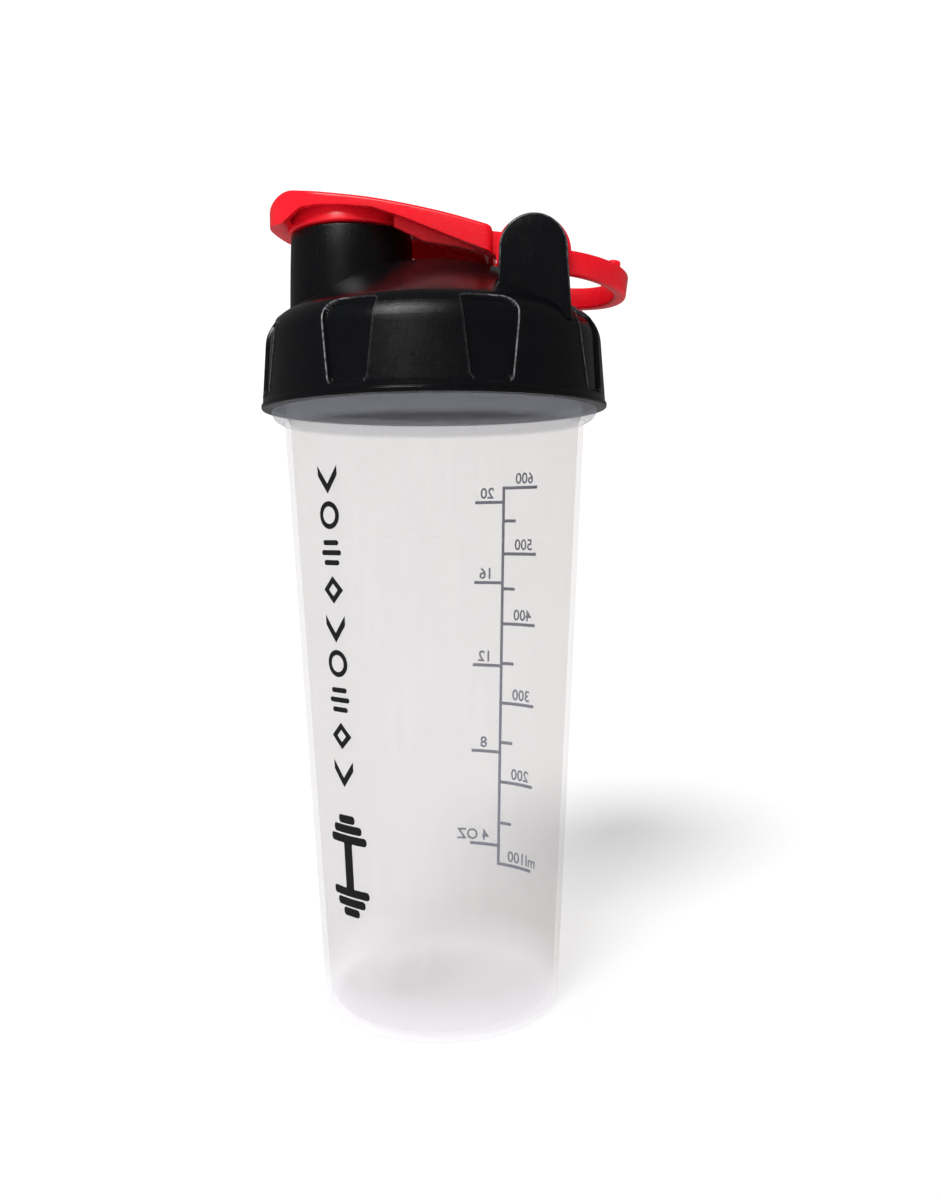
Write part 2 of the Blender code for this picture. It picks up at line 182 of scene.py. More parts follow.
class Model:
    """Turns bmeshes in millimetres into finished pieces, and combines them."""

    @staticmethod
    def solid(name: str, bm: bmesh.types.BMesh) -> bpy.types.Object:
        """Makes an object from a closed bmesh, with its faces pointing out.

        Args:
            name: The object's name.
            bm: The shape in millimetres, which is freed.

        Returns:
            The object, in metres.
        """
        bmesh.ops.remove_doubles(bm, verts=bm.verts, dist=1e-4)
        bmesh.ops.recalc_face_normals(bm, faces=bm.faces)
        bmesh.ops.scale(bm, vec=(MM, MM, MM), verts=bm.verts)
        if "row" in bm.verts.layers.int:
            bm.verts.layers.int.remove(bm.verts.layers.int["row"])
        mesh = bpy.data.meshes.new(name)
        bm.to_mesh(mesh)
        bm.free()
        made = bpy.data.objects.new(name, mesh)
        bpy.context.scene.collection.objects.link(made)
        return made

    @staticmethod
    def spun(outline: Sequence[Point], steps: int, closed: bool = False) -> bmesh.types.BMesh:
        """Turns a (radius, height) outline a full turn about Z.

        Args:
            outline: The points, from axis to axis, or a ring clear of the axis if closed.
            steps: How many sides the turned shape has.
            closed: Whether the last point joins the first.

        Returns:
            The shape as a bmesh, with each point's number in the outline as its "row".
        """
        bm = bmesh.new()
        rows = bm.verts.layers.int.new("row")
        row = [bm.verts.new((r, 0.0, z)) for r, z in outline]
        for i, vert in enumerate(row):
            vert[rows] = i
        edges = [bm.edges.new(pair) for pair in zip(row, row[1:])]
        if closed:
            edges.append(bm.edges.new((row[-1], row[0])))
        bmesh.ops.spin(bm, geom=row + edges, axis=(0, 0, 1), angle=2 * pi, steps=steps, use_merge=True)
        bmesh.ops.remove_doubles(bm, verts=bm.verts, dist=1e-4)
        return bm

    @staticmethod
    def helix_rib(outline: Sequence[Point], start: float, turns: float, pitch: float,
                  steps: int) -> bmesh.types.BMesh:
        """Sweeps a closed (radius, height) outline up a helix, with closed ends.

        Args:
            outline: The rib's section.
            start: Where it starts, in turns about Z from +X.
            turns: How many turns it makes.
            pitch: How much it climbs in a turn.
            steps: How many steps a turn has.

        Returns:
            The rib as a bmesh.
        """
        bm = bmesh.new()
        spin = Matrix.Rotation(2 * pi * start, 3, "Z")
        row = [bm.verts.new(spin @ Vector((r, 0.0, z))) for r, z in outline]
        edges = [bm.edges.new((row[i - 1], row[i])) for i in range(len(row))]
        count = round(steps * turns)
        bmesh.ops.spin(bm, geom=row + edges, axis=(0, 0, 1), angle=2 * pi * turns, steps=count,
                       dvec=(0, 0, pitch * turns / count))
        bmesh.ops.holes_fill(bm, edges=[e for e in bm.edges if e.is_boundary], sides=0)
        return bm

    @staticmethod
    def prism(outline: Sequence[Point], low: float, high: float, upright: Upright = Upright.Z,
              bevel: float = 0.0, segments: int = 3) -> bmesh.types.BMesh:
        """Extrudes an outline between two levels, and rounds the edges of its two ends.

        Args:
            outline: (x, y) points, or (x, z) points when it is extruded along Y.
            low: The lower level.
            high: The upper level.
            upright: The direction of the extrusion.
            bevel: The radius on the edges round both ends.
            segments: How many steps that radius has.

        Returns:
            The prism as a bmesh.
        """
        bm = bmesh.new()
        if upright is Upright.Z:
            corners = [(x, y, low) for x, y in outline]
            step = Vector((0, 0, high - low))
        else:
            corners = [(x, low, z) for x, z in outline]
            step = Vector((0, high - low, 0))
        face = bm.faces.new([bm.verts.new(corner) for corner in corners])
        grown = bmesh.ops.extrude_face_region(bm, geom=[face])["geom"]
        moved = [item for item in grown if isinstance(item, bmesh.types.BMVert)]
        bmesh.ops.translate(bm, vec=step, verts=moved)
        bmesh.ops.recalc_face_normals(bm, faces=bm.faces)
        if bevel > 0:
            along = step.normalized()
            ends = [f for f in bm.faces if abs(f.normal.dot(along)) > 0.99]
            rims = list({edge for end in ends for edge in end.edges})
            bmesh.ops.bevel(bm, geom=rims, offset=bevel, offset_type="OFFSET", segments=segments,
                            profile=0.5, affect="EDGES", clamp_overlap=True, material=-1)
        return bm

    @staticmethod
    def apply(piece: bpy.types.Object) -> None:
        """Replaces a piece's mesh by what its modifiers make of it.

        Args:
            piece: The piece, whose modifiers are removed.
        """
        graph = bpy.context.evaluated_depsgraph_get()
        shaped = bpy.data.meshes.new_from_object(piece.evaluated_get(graph))
        piece.modifiers.clear()
        piece.data = shaped

    @classmethod
    def combine(cls, piece: bpy.types.Object, tool: bpy.types.Object, operation: Operation) -> None:
        """Joins or cuts a piece with a tool, which is then removed.

        Args:
            piece: The piece that is changed.
            tool: The other closed solid.
            operation: What is done with it.
        """
        change = piece.modifiers.new("combine", "BOOLEAN")
        change.operation = operation.value
        change.solver = "EXACT"
        change.object = tool
        cls.apply(piece)
        bpy.data.objects.remove(tool, do_unlink=True)

    @staticmethod
    def close_seams(piece: bpy.types.Object) -> None:
        """Merges the hair-thin seams that Booleans leave.

        Args:
            piece: The piece, in metres.
        """
        bm = bmesh.new()
        bm.from_mesh(piece.data)
        bmesh.ops.remove_doubles(bm, verts=bm.verts, dist=3e-6)
        bmesh.ops.dissolve_degenerate(bm, edges=bm.edges, dist=1e-6)
        bm.to_mesh(piece.data)
        bm.free()

    @staticmethod
    def dress(piece: bpy.types.Object, material: bpy.types.Material, smooth: float = 32.0) -> None:
        """Gives a piece its material and its shading.

        Args:
            piece: The finished piece.
            material: Its one material.
            smooth: Edges sharper than this many degrees stay crisp.
        """
        piece.data.materials.clear()
        piece.data.materials.append(material)
        piece.data.shade_smooth()
        piece.data.set_sharp_from_angle(angle=radians(smooth))

    @staticmethod
    def seat(piece: bpy.types.Object, body: str, node: str | None, slot: str) -> None:
        """Puts a piece on its body, hides the solid that it stands for and logs them.

        Args:
            piece: The finished piece.
            body: The body that it rides on.
            node: The solid that it stands for, if it does.
            slot: The record's material slot; not used.
        """
        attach(piece, body)
        if node is not None:
            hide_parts(node)
        faces = len(piece.data.polygons)
        LOG.info("%s: %d faces on %s, for %s", piece.name, faces, body, node or "no node")


# --------------------------------------------------------------------------- materials


class Sheet:
    """A material's node tree, with short names for the nodes that the finishes use."""

    def __init__(self, name: str) -> None:
        """Starts a material with a Principled shader.

        Args:
            name: The material's name.
        """
        self.material = bpy.data.materials.new(name)
        self.material.use_nodes = True
        self.nodes = self.material.node_tree.nodes
        self.links = self.material.node_tree.links
        self.shader = self.nodes["Principled BSDF"]
        self.output = self.nodes["Material Output"]
        self.place = self.nodes.new("ShaderNodeTexCoord").outputs["Object"]

    def set(self, **values: float | tuple[float, ...]) -> None:
        """Sets the Principled shader's sockets, named with _ for spaces."""
        for name, value in values.items():
            self.shader.inputs[name.replace("_", " ")].default_value = value

    def noise(self, size: float, detail: float = 3.0, rough: float = 0.55,
              stretch: tuple[float, float, float] = (1.0, 1.0, 1.0)) -> bpy.types.NodeSocket:
        """Noise on the piece's own coordinates.

        Args:
            size: The size of its features in millimetres.
            detail: How many finer layers it has.
            rough: How strong those are.
            stretch: How many times longer the features are along each axis.

        Returns:
            The value's socket.
        """
        mapping = self.nodes.new("ShaderNodeMapping")
        mapping.inputs["Scale"].default_value = tuple(1 / (size * MM * s) for s in stretch)
        self.links.new(self.place, mapping.inputs["Vector"])
        node = self.nodes.new("ShaderNodeTexNoise")
        node.inputs["Scale"].default_value = 1.0
        node.inputs["Detail"].default_value = detail
        node.inputs["Roughness"].default_value = rough
        self.links.new(mapping.outputs["Vector"], node.inputs["Vector"])
        return node.outputs["Fac"]

    def cells(self, size: float) -> bpy.types.NodeSocket:
        """Rounded cells, as spark-eroded moulds print them.

        Args:
            size: The size of a cell in millimetres.

        Returns:
            The distance's socket.
        """
        mapping = self.nodes.new("ShaderNodeMapping")
        mapping.inputs["Scale"].default_value = (1 / (size * MM),) * 3
        self.links.new(self.place, mapping.inputs["Vector"])
        node = self.nodes.new("ShaderNodeTexVoronoi")
        node.feature = "SMOOTH_F1"
        node.inputs["Scale"].default_value = 1.0
        node.inputs["Smoothness"].default_value = 0.6
        self.links.new(mapping.outputs["Vector"], node.inputs["Vector"])
        return node.outputs["Distance"]

    def spread(self, value: bpy.types.NodeSocket, low: float, high: float,
               start: float = 0.0, end: float = 1.0) -> bpy.types.NodeSocket:
        """Maps a value's range onto another, clamped.

        Args:
            value: The value.
            low: The result at start.
            high: The result at end.
            start: Where the value's range starts.
            end: Where it ends.

        Returns:
            The result's socket.
        """
        node = self.nodes.new("ShaderNodeMapRange")
        for name, number in (("From Min", start), ("From Max", end), ("To Min", low), ("To Max", high)):
            node.inputs[name].default_value = number
        self.links.new(value, node.inputs["Value"])
        return node.outputs["Result"]

    def calc(self, operation: str, a: bpy.types.NodeSocket,
             b: bpy.types.NodeSocket | float) -> bpy.types.NodeSocket:
        """One sum on two values.

        Args:
            operation: The Math node's operation.
            a: The first value.
            b: The second value, or a number.

        Returns:
            The result's socket.
        """
        node = self.nodes.new("ShaderNodeMath")
        node.operation = operation
        self.links.new(a, node.inputs[0])
        if isinstance(b, (int, float)):
            node.inputs[1].default_value = b
        else:
            self.links.new(b, node.inputs[1])
        return node.outputs["Value"]

    def blend(self, value: bpy.types.NodeSocket, first: Sequence[float],
              second: Sequence[float]) -> bpy.types.NodeSocket:
        """Blends two colours by a value.

        Args:
            value: 0 for the first colour, 1 for the second.
            first: The first colour.
            second: The second colour.

        Returns:
            The colour's socket.
        """
        node = self.nodes.new("ShaderNodeMix")
        node.data_type = "RGBA"
        node.inputs["A"].default_value = (*first, 1.0)
        node.inputs["B"].default_value = (*second, 1.0)
        self.links.new(value, node.inputs["Factor"])
        return node.outputs["Result"]

    def attribute(self, name: str) -> bpy.types.NodeSocket:
        """A value that the piece's mesh carries."""
        node = self.nodes.new("ShaderNodeAttribute")
        node.attribute_name = name
        return node.outputs["Fac"]

    def bump(self, height: bpy.types.NodeSocket, depth: float,
             under: bpy.types.NodeSocket | None = None) -> bpy.types.NodeSocket:
        """Turns a height into a normal.

        Args:
            height: The height, from 0 to 1.
            depth: What a height of 1 means in millimetres.
            under: The normal of a coarser relief, if there is one.

        Returns:
            The normal's socket.
        """
        node = self.nodes.new("ShaderNodeBump")
        node.inputs["Distance"].default_value = depth * MM
        self.links.new(height, node.inputs["Height"])
        if under is not None:
            self.links.new(under, node.inputs["Normal"])
        return node.outputs["Normal"]

    def feed(self, source: bpy.types.NodeSocket, target: str) -> None:
        """Links a socket to one of the Principled shader's."""
        self.links.new(source, self.shader.inputs[target])


@dataclass(frozen=True)
class FrostedPlastic:
    """Translucent polypropylene: milky, seen through, glossy with a faint moulded grain."""

    name: str = "frosted polypropylene"
    milk: tuple[float, float, float] = (0.345, 0.355, 0.395)
    collar_milk: tuple[float, float, float] = (0.50, 0.52, 0.58)
    window: tuple[float, float, float] = (1.0, 0.992, 0.986)
    # how many times brighter the milk is painted at the foot, as painted light
    foot_glow: float = 3.2
    clear: float = 0.88
    collar_clear: float = 0.66
    roughness: float = 0.30

    def build(self) -> bpy.types.Material:
        """Makes the material.

        Returns:
            A Principled skin over a diffuse and back-lit body, mixed with a clear share.
        """
        sheet = Sheet(self.name)
        cloud = sheet.noise(22.0, 2.0)
        flow = sheet.noise(3.0, 4.0, stretch=(1.0, 1.0, 9.0))
        grain = sheet.noise(0.35, 2.0)
        scuff = sheet.noise(1.6, 5.0, 0.7, (1.0, 1.0, 4.0))
        height = sheet.nodes.new("ShaderNodeSeparateXYZ")
        sheet.links.new(sheet.place, height.inputs["Vector"])
        # Painted light: the milk is painted brighter over the lowest 14 mm, with a faint random cloud of
        # tone on top.
        near_foot = sheet.spread(height.outputs["Z"], 1.0, 0.0, 0.0, 0.014)
        shade = sheet.calc("ADD", near_foot, sheet.calc("MULTIPLY", cloud, 0.15))
        low = sheet.blend(shade, self.milk, tuple(c * self.foot_glow for c in self.milk))
        under_collar = sheet.spread(height.outputs["Z"], 0.0, 1.0, 0.1655, 0.1668)
        above_collar = sheet.spread(height.outputs["Z"], 1.0, 0.0, 0.1712, 0.1722)
        on_collar = sheet.calc("MULTIPLY", under_collar, above_collar)
        collar = sheet.nodes.new("ShaderNodeMix")
        collar.data_type = "RGBA"
        collar.inputs["B"].default_value = (*self.collar_milk, 1.0)
        sheet.links.new(low, collar.inputs["A"])
        sheet.links.new(on_collar, collar.inputs["Factor"])
        tint = collar.outputs["Result"]
        sheet.feed(tint, "Base Color")
        sheet.feed(sheet.spread(scuff, self.roughness - 0.05, self.roughness + 0.16, 0.35, 0.75),
                   "Roughness")
        relief = sheet.bump(grain, 0.006, sheet.bump(flow, 0.03))
        sheet.feed(relief, "Normal")
        sheet.set(IOR=1.49)
        glow = sheet.nodes.new("ShaderNodeBsdfTranslucent")
        sheet.links.new(tint, glow.inputs["Color"])
        body = sheet.nodes.new("ShaderNodeMixShader")
        body.inputs["Fac"].default_value = 0.5
        sheet.links.new(sheet.shader.outputs["BSDF"], body.inputs[1])
        sheet.links.new(glow.outputs["BSDF"], body.inputs[2])
        window = sheet.nodes.new("ShaderNodeBsdfTransparent")
        window.inputs["Color"].default_value = (*self.window, 1.0)
        whole = sheet.nodes.new("ShaderNodeMixShader")
        haze = sheet.spread(flow, 1 - self.clear - 0.02, 1 - self.clear + 0.02)
        thicker = sheet.calc("MULTIPLY", on_collar, self.clear - self.collar_clear)
        sheet.links.new(sheet.calc("ADD", haze, thicker), whole.inputs["Fac"])
        sheet.links.new(window.outputs["BSDF"], whole.inputs[1])
        sheet.links.new(body.outputs["Shader"], whole.inputs[2])
        sheet.links.new(whole.outputs["Shader"], sheet.output.inputs["Surface"])
        return sheet.material


@dataclass(frozen=True)
class BlackPlastic:
    """Glossy black polypropylene, with moulded grain where the mesh's grain value is 1."""

    name: str = "black polypropylene"
    colour: tuple[float, float, float] = (0.0025, 0.0028, 0.0034)
    # pale rim colour: part wear, part painted highlight
    rubbed: tuple[float, float, float] = (0.28, 0.28, 0.30)
    roughness: float = 0.21
    grain_size: float = 0.28
    grain_depth: float = 0.03

    def build(self) -> bpy.types.Material:
        """Makes the material.

        Returns:
            The black material.
        """
        sheet = Sheet(self.name)
        cloud = sheet.noise(14.0, 3.0)
        scuff = sheet.noise(0.9, 6.0, 0.75, (1.0, 1.0, 2.5))
        cells = sheet.cells(self.grain_size)
        fine = sheet.noise(self.grain_size * 0.6, 3.0)
        mask = sheet.attribute("grain")
        worn = tuple(c * 2.2 for c in self.colour)
        skin = sheet.blend(sheet.spread(scuff, 0.0, 1.0, 0.55, 0.8), self.colour, worn)
        # Pale rims on the panel beads and ear rims: part wear, part painted highlight, broken up by noise.
        patchy = sheet.spread(sheet.noise(1.1, 4.0), 0.35, 1.0, 0.42, 0.56)
        rubbed = sheet.calc("MULTIPLY", sheet.attribute("wear_and_highlight"), patchy)
        edge = sheet.nodes.new("ShaderNodeMix")
        edge.data_type = "RGBA"
        edge.inputs["B"].default_value = (*self.rubbed, 1.0)
        sheet.links.new(skin, edge.inputs["A"])
        sheet.links.new(rubbed, edge.inputs["Factor"])
        sheet.feed(edge.outputs["Result"], "Base Color")
        smooth = sheet.spread(sheet.calc("ADD", cloud, scuff), self.roughness - 0.03,
                              self.roughness + 0.10, 0.8, 1.4)
        textured = sheet.calc("MULTIPLY", mask, 0.05)
        sheet.feed(sheet.calc("ADD", smooth, textured), "Roughness")
        height = sheet.calc("MULTIPLY", sheet.calc("ADD", cells, fine), mask)
        waves = sheet.bump(sheet.noise(9.0, 1.0), 0.02)
        sheet.feed(sheet.bump(height, self.grain_depth, waves), "Normal")
        sheet.set(IOR=1.32)
        return sheet.material


@dataclass(frozen=True)
class RedPlastic:
    """Bright red polypropylene that light reaches a little way into."""

    name: str = "red polypropylene"
    colour: tuple[float, float, float] = (0.80, 0.008, 0.020)
    deep: tuple[float, float, float] = (0.68, 0.005, 0.014)
    roughness: float = 0.24
    glow: float = 0.25

    def build(self) -> bpy.types.Material:
        """Makes the material.

        Returns:
            The red material.
        """
        sheet = Sheet(self.name)
        cloud = sheet.noise(11.0, 3.0)
        scuff = sheet.noise(0.8, 6.0, 0.75, (3.0, 1.0, 1.0))
        sheet.feed(sheet.blend(sheet.spread(cloud, 0.0, 1.0, 0.35, 0.7), self.colour, self.deep),
                   "Base Color")
        sheet.feed(sheet.spread(sheet.calc("ADD", cloud, scuff), self.roughness - 0.04,
                                self.roughness + 0.14, 0.8, 1.4), "Roughness")
        waves = sheet.bump(sheet.noise(7.0, 1.0), 0.015)
        sheet.feed(sheet.bump(sheet.noise(0.3, 2.0), 0.004, waves), "Normal")
        sheet.set(IOR=1.33, Subsurface_Weight=self.glow, Subsurface_Scale=0.004,
                  Subsurface_Radius=(1.0, 0.08, 0.08))
        return sheet.material


@dataclass(frozen=True)
class PrintInk:
    """Screen-printed ink: nearly flat, a little uneven, thin at its edges."""

    name: str
    colour: tuple[float, float, float]
    roughness: float = 0.38

    def build(self) -> bpy.types.Material:
        """Makes the material.

        Returns:
            The ink.
        """
        sheet = Sheet(self.name)
        mottle = sheet.noise(0.5, 4.0, 0.65)
        thin = tuple(min(1.0, c * 1.7 + 0.012) for c in self.colour)
        sheet.feed(sheet.blend(sheet.spread(mottle, 0.0, 1.0, 0.5, 0.85), self.colour, thin), "Base Color")
        sheet.feed(sheet.spread(mottle, self.roughness - 0.06, self.roughness + 0.12, 0.3, 0.7),
                   "Roughness")
        sheet.feed(sheet.bump(sheet.noise(0.22, 2.0), 0.004), "Normal")
        sheet.set(Specular_IOR_Level=0.2)
        return sheet.material


@dataclass(frozen=True)
class MilkySilicone:
    """Soft milky silicone with a matt skin and dust-fine relief."""

    name: str = "milky silicone"
    colour: tuple[float, float, float] = (0.74, 0.75, 0.76)

    def build(self) -> bpy.types.Material:
        """Makes the material.

        Returns:
            The silicone.
        """
        sheet = Sheet(self.name)
        cloud = sheet.noise(5.0, 4.0)
        sheet.feed(sheet.blend(cloud, self.colour, tuple(c * 0.9 for c in self.colour)), "Base Color")
        sheet.feed(sheet.spread(cloud, 0.42, 0.6), "Roughness")
        sheet.feed(sheet.bump(sheet.noise(0.25, 3.0), 0.01), "Normal")
        sheet.set(Subsurface_Weight=0.4, Subsurface_Scale=0.002)
        return sheet.material


@dataclass(frozen=True)
class BrushedSteel:
    """Stainless steel with turning marks round the Y axis."""

    name: str = "stainless steel"
    colour: tuple[float, float, float] = (0.60, 0.60, 0.61)

    def build(self) -> bpy.types.Material:
        """Makes the material.

        Returns:
            The steel.
        """
        sheet = Sheet(self.name)
        marks = sheet.noise(0.12, 3.0, 0.6, (40.0, 1.0, 40.0))
        sheet.feed(sheet.blend(marks, self.colour, tuple(c * 0.8 for c in self.colour)), "Base Color")
        sheet.feed(sheet.spread(marks, 0.2, 0.38), "Roughness")
        sheet.feed(sheet.bump(marks, 0.004), "Normal")
        sheet.set(Metallic=1.0)
        return sheet.material


# --------------------------------------------------------------------------- cup


@dataclass
class Cup:
    """The cup and the two prints on it."""

    foot_r: float = 34.0
    collar_root_r: float = 42.25
    collar_root_z: float = 166.3
    flare: float = 3.6
    wall: float = 1.6
    floor_z: float = 2.4
    neck_r: float = 43.4
    neck_top_z: float = 184.0
    thread_pitch: float = 5.0
    thread_z: float = 174.0
    thread_turns: float = 1.25
    sides: int = 256
    ink_gap: float = 0.03
    ink_thickness: float = 0.03
    scale_turn: float = 63.2
    front_turn: float = -127.6

    def wall_r(self, z: float) -> float:
        """The outer radius of the cup's wall at a height."""
        return self.foot_r + (self.collar_root_r - self.foot_r) * z / self.collar_root_z

    def outline(self) -> list[Point]:
        """The cup's section from the middle of its foot round to the middle of its floor.

        Returns:
            (radius, height) points.
        """
        top = self.collar_root_z + self.flare
        corners = [(0.0, 0.0, 0.0), (self.foot_r, 0.0, 2.5), (self.collar_root_r, self.collar_root_z, 0.6)]
        corners += [(r, z, 0.0) for r, z in arc((self.collar_root_r, top), self.flare, -84, 0, 12)]
        corners += [(self.neck_r, top, 0.5), (self.neck_r, self.neck_top_z, 0.75),
                    (self.neck_r - self.wall, self.neck_top_z, 0.75),
                    (self.neck_r - self.wall, self.collar_root_z + 2.4, 1.5),
                    (self.collar_root_r - self.wall, self.collar_root_z - 0.6, 1.5),
                    (self.wall_r(self.floor_z) - self.wall, self.floor_z, 3.0), (0.0, self.floor_z, 0.0)]
        return rounded(corners, closed=False, steps=8)

    def build_body(self, material: bpy.types.Material) -> bpy.types.Object:
        """Models the cup with its collar and threaded neck.

        Args:
            material: The frosted plastic.

        Returns:
            The cup.
        """
        bands = split_long(self.outline(), lambda at: 6.0)
        cup = Model.solid("cup_body", Model.spun(bands, self.sides))
        crest, root = self.neck_r + 1.1, self.neck_r - 0.4
        section = [(root, self.thread_z - 1.1), (crest, self.thread_z - 0.5), (crest, self.thread_z + 0.5),
                   (root, self.thread_z + 1.1)]
        rib = Model.helix_rib(section, 0.0, self.thread_turns, self.thread_pitch, 96)
        Model.combine(cup, Model.solid("neck_rib", rib), Operation.JOIN)
        Model.close_seams(cup)
        Model.dress(cup, material)
        return cup

    def wrap(self, bm: bmesh.types.BMesh, turn: float) -> None:
        """Lays a flat print on the cup's wall.

        Args:
            bm: A print with x along the wall to an onlooker's right, and y as its height.
            turn: Where x = 0 lies, in degrees about Z from +X.
        """
        slope = (self.collar_root_r - self.foot_r) / self.collar_root_z
        for vert in bm.verts:
            x, z, lift = vert.co
            r = self.wall_r(z) + self.ink_gap + lift
            angle = radians(turn) + x / r
            vert.co = (r * cos(angle), r * sin(angle), z - lift * slope)

    def printed(self, name: str, bm: bmesh.types.BMesh, turn: float,
                material: bpy.types.Material) -> bpy.types.Object:
        """Gives a flat print its thickness and lays it on the cup.

        Args:
            name: The print's name.
            bm: The flat print.
            turn: Where its x = 0 lies, in degrees.
            material: The ink.

        Returns:
            The print.
        """
        bmesh.ops.remove_doubles(bm, verts=bm.verts, dist=1e-3)
        for x in np.arange(-14.25, 15.0, 1.5):
            bmesh.ops.bisect_plane(bm, geom=[*bm.verts, *bm.edges, *bm.faces], dist=1e-5,
                                   plane_co=(float(x), 0, 0), plane_no=(1, 0, 0))
        grown = bmesh.ops.extrude_face_region(bm, geom=list(bm.faces), use_keep_orig=True)["geom"]
        lifted = [item for item in grown if isinstance(item, bmesh.types.BMVert)]
        bmesh.ops.translate(bm, vec=(0, 0, self.ink_thickness), verts=lifted)
        self.wrap(bm, turn)
        made = Model.solid(name, bm)
        Model.dress(made, material, 60.0)
        return made

    def build_scale(self, material: bpy.types.Material) -> bpy.types.Object:
        """Models the printed scale: a spine, millilitres on one side and ounces on the other.

        Args:
            material: The grey ink.

        Returns:
            The scale.
        """
        scale = VolumeScale()
        return self.printed("cup_scale_print", scale.flat(), self.scale_turn, material)

    def build_front(self, material: bpy.types.Material) -> bpy.types.Object:
        """Models the plain decoration on the front.

        Args:
            material: The black ink.

        Returns:
            The decoration.
        """
        return self.printed("cup_front_print", FrontPrint().flat(), self.front_turn, material)


def add_bar(bm: bmesh.types.BMesh, x: float, z: float, width: float, height: float) -> None:
    """Adds a flat bar to a print.

    Args:
        bm: The print.
        x: The bar's middle along the wall.
        z: Its middle height.
        width: Its size along the wall.
        height: Its upright size.
    """
    place = Matrix.Translation((x, z, 0)) @ Matrix.Diagonal((width / 2, height / 2, 1, 1))
    bmesh.ops.create_grid(bm, x_segments=1, y_segments=1, size=1.0, matrix=place)


def add_shape(bm: bmesh.types.BMesh, outline: Sequence[Point]) -> None:
    """Adds a flat outline to a print.

    Args:
        bm: The print.
        outline: Its points.
    """
    bm.faces.new([bm.verts.new((x, z, 0.0)) for x, z in outline])


@dataclass
class VolumeScale:
    """The measuring scale, whose marks stand at or near their printed heights.

    The ounce marks lie up to 1.5 mm from the printed ones. The heights at which the modelled cup
    holds the volumes are up to 3 mm from the millilitre marks and further from the ounce marks.
    """

    ml_step: int = 50
    ml_last: int = 600
    ml_heights: tuple[float, ...] = (28.3, 54.9, 80.4, 105.9, 128.3, 149.3)
    oz_step: int = 4
    oz_last: int = 20
    oz_heights: tuple[float, ...] = (34.1, 64.4, 92.3, 119.0, 144.8)
    line: float = 1.0
    long_tick: float = 12.6
    short_tick: float = 4.1
    oz_tick: float = 9.4
    numeral: float = 3.4
    numeral_gap: float = 1.3
    narrow: float = 0.98
    capital_share: float = 0.7
    stroke_gain: float = 0.09
    curve_steps: int = 3
    label_shift: Point = (0.62, 0.62)
    unit_shift: Point = (0.74, 0.95)

    def height(self, ml: float) -> float:
        """The printed height of a volume's mark; those between two numerals lie halfway.

        Args:
            ml: The volume.

        Returns:
            The height above the foot.
        """
        place = ml / (2 * self.ml_step) - 1
        i = min(int(place), len(self.ml_heights) - 2)
        low, high = self.ml_heights[i:i + 2]
        return low + (high - low) * (place - i)

    def label(self, bm: bmesh.types.BMesh, text: str, x: float, z: float) -> None:
        """Adds a numeral or unit to the print.

        Args:
            bm: The print.
            text: What it says.
            x: Its middle along the wall.
            z: Its foot.
        """
        curve = bpy.data.curves.new("numeral", "FONT")
        curve.body = text
        curve.size = self.numeral / self.capital_share
        curve.align_x = "CENTER"
        curve.offset = self.stroke_gain
        curve.resolution_u = self.curve_steps
        letter = bpy.data.objects.new("numeral", curve)
        bpy.context.scene.collection.objects.link(letter)
        graph = bpy.context.evaluated_depsgraph_get()
        flat = bpy.data.meshes.new_from_object(letter.evaluated_get(graph))
        flat.transform(Matrix.Translation((x, z, 0)) @ Matrix.Diagonal((self.narrow, 1, 1, 1)))
        bm.from_mesh(flat)
        bpy.data.objects.remove(letter, do_unlink=True)

    def flat(self) -> bmesh.types.BMesh:
        """Draws the scale, spread out flat.

        Returns:
            The flat print.
        """
        bm = bmesh.new()
        bottom = self.height(self.ml_step * 2)
        top = self.height(self.ml_last)
        add_bar(bm, 0.0, (bottom + top) / 2, self.line, top - bottom + self.line)
        for ml in range(self.ml_step * 2, self.ml_last + 1, self.ml_step):
            z = self.height(ml)
            whole = ml % 100 == 0
            tick = self.long_tick if whole else self.short_tick
            add_bar(bm, -(tick + self.line) / 2, z, tick, self.line)
            if whole:
                text = "ml100" if ml == 100 else str(ml)
                shift = self.long_tick * (self.label_shift if ml > 100 else self.unit_shift)[0]
                self.label(bm, text, -shift, z + self.numeral_gap)
        for oz in range(self.oz_step, self.oz_last + 1, self.oz_step):
            z = self.oz_heights[oz // self.oz_step - 1]
            add_bar(bm, (self.oz_tick + self.line) / 2, z, self.oz_tick, self.line)
            text = "4 OZ" if oz == self.oz_step else str(oz)
            shift = self.oz_tick * (self.label_shift if oz > self.oz_step else self.unit_shift)[1]
            self.label(bm, text, shift, z + self.numeral_gap)
        return bm


class Sign(Enum):
    """The plain signs of the decoration on the front."""

    RING = "ring"
    CHEVRON = "chevron"
    BARS = "bars"
    DIAMOND = "diamond"


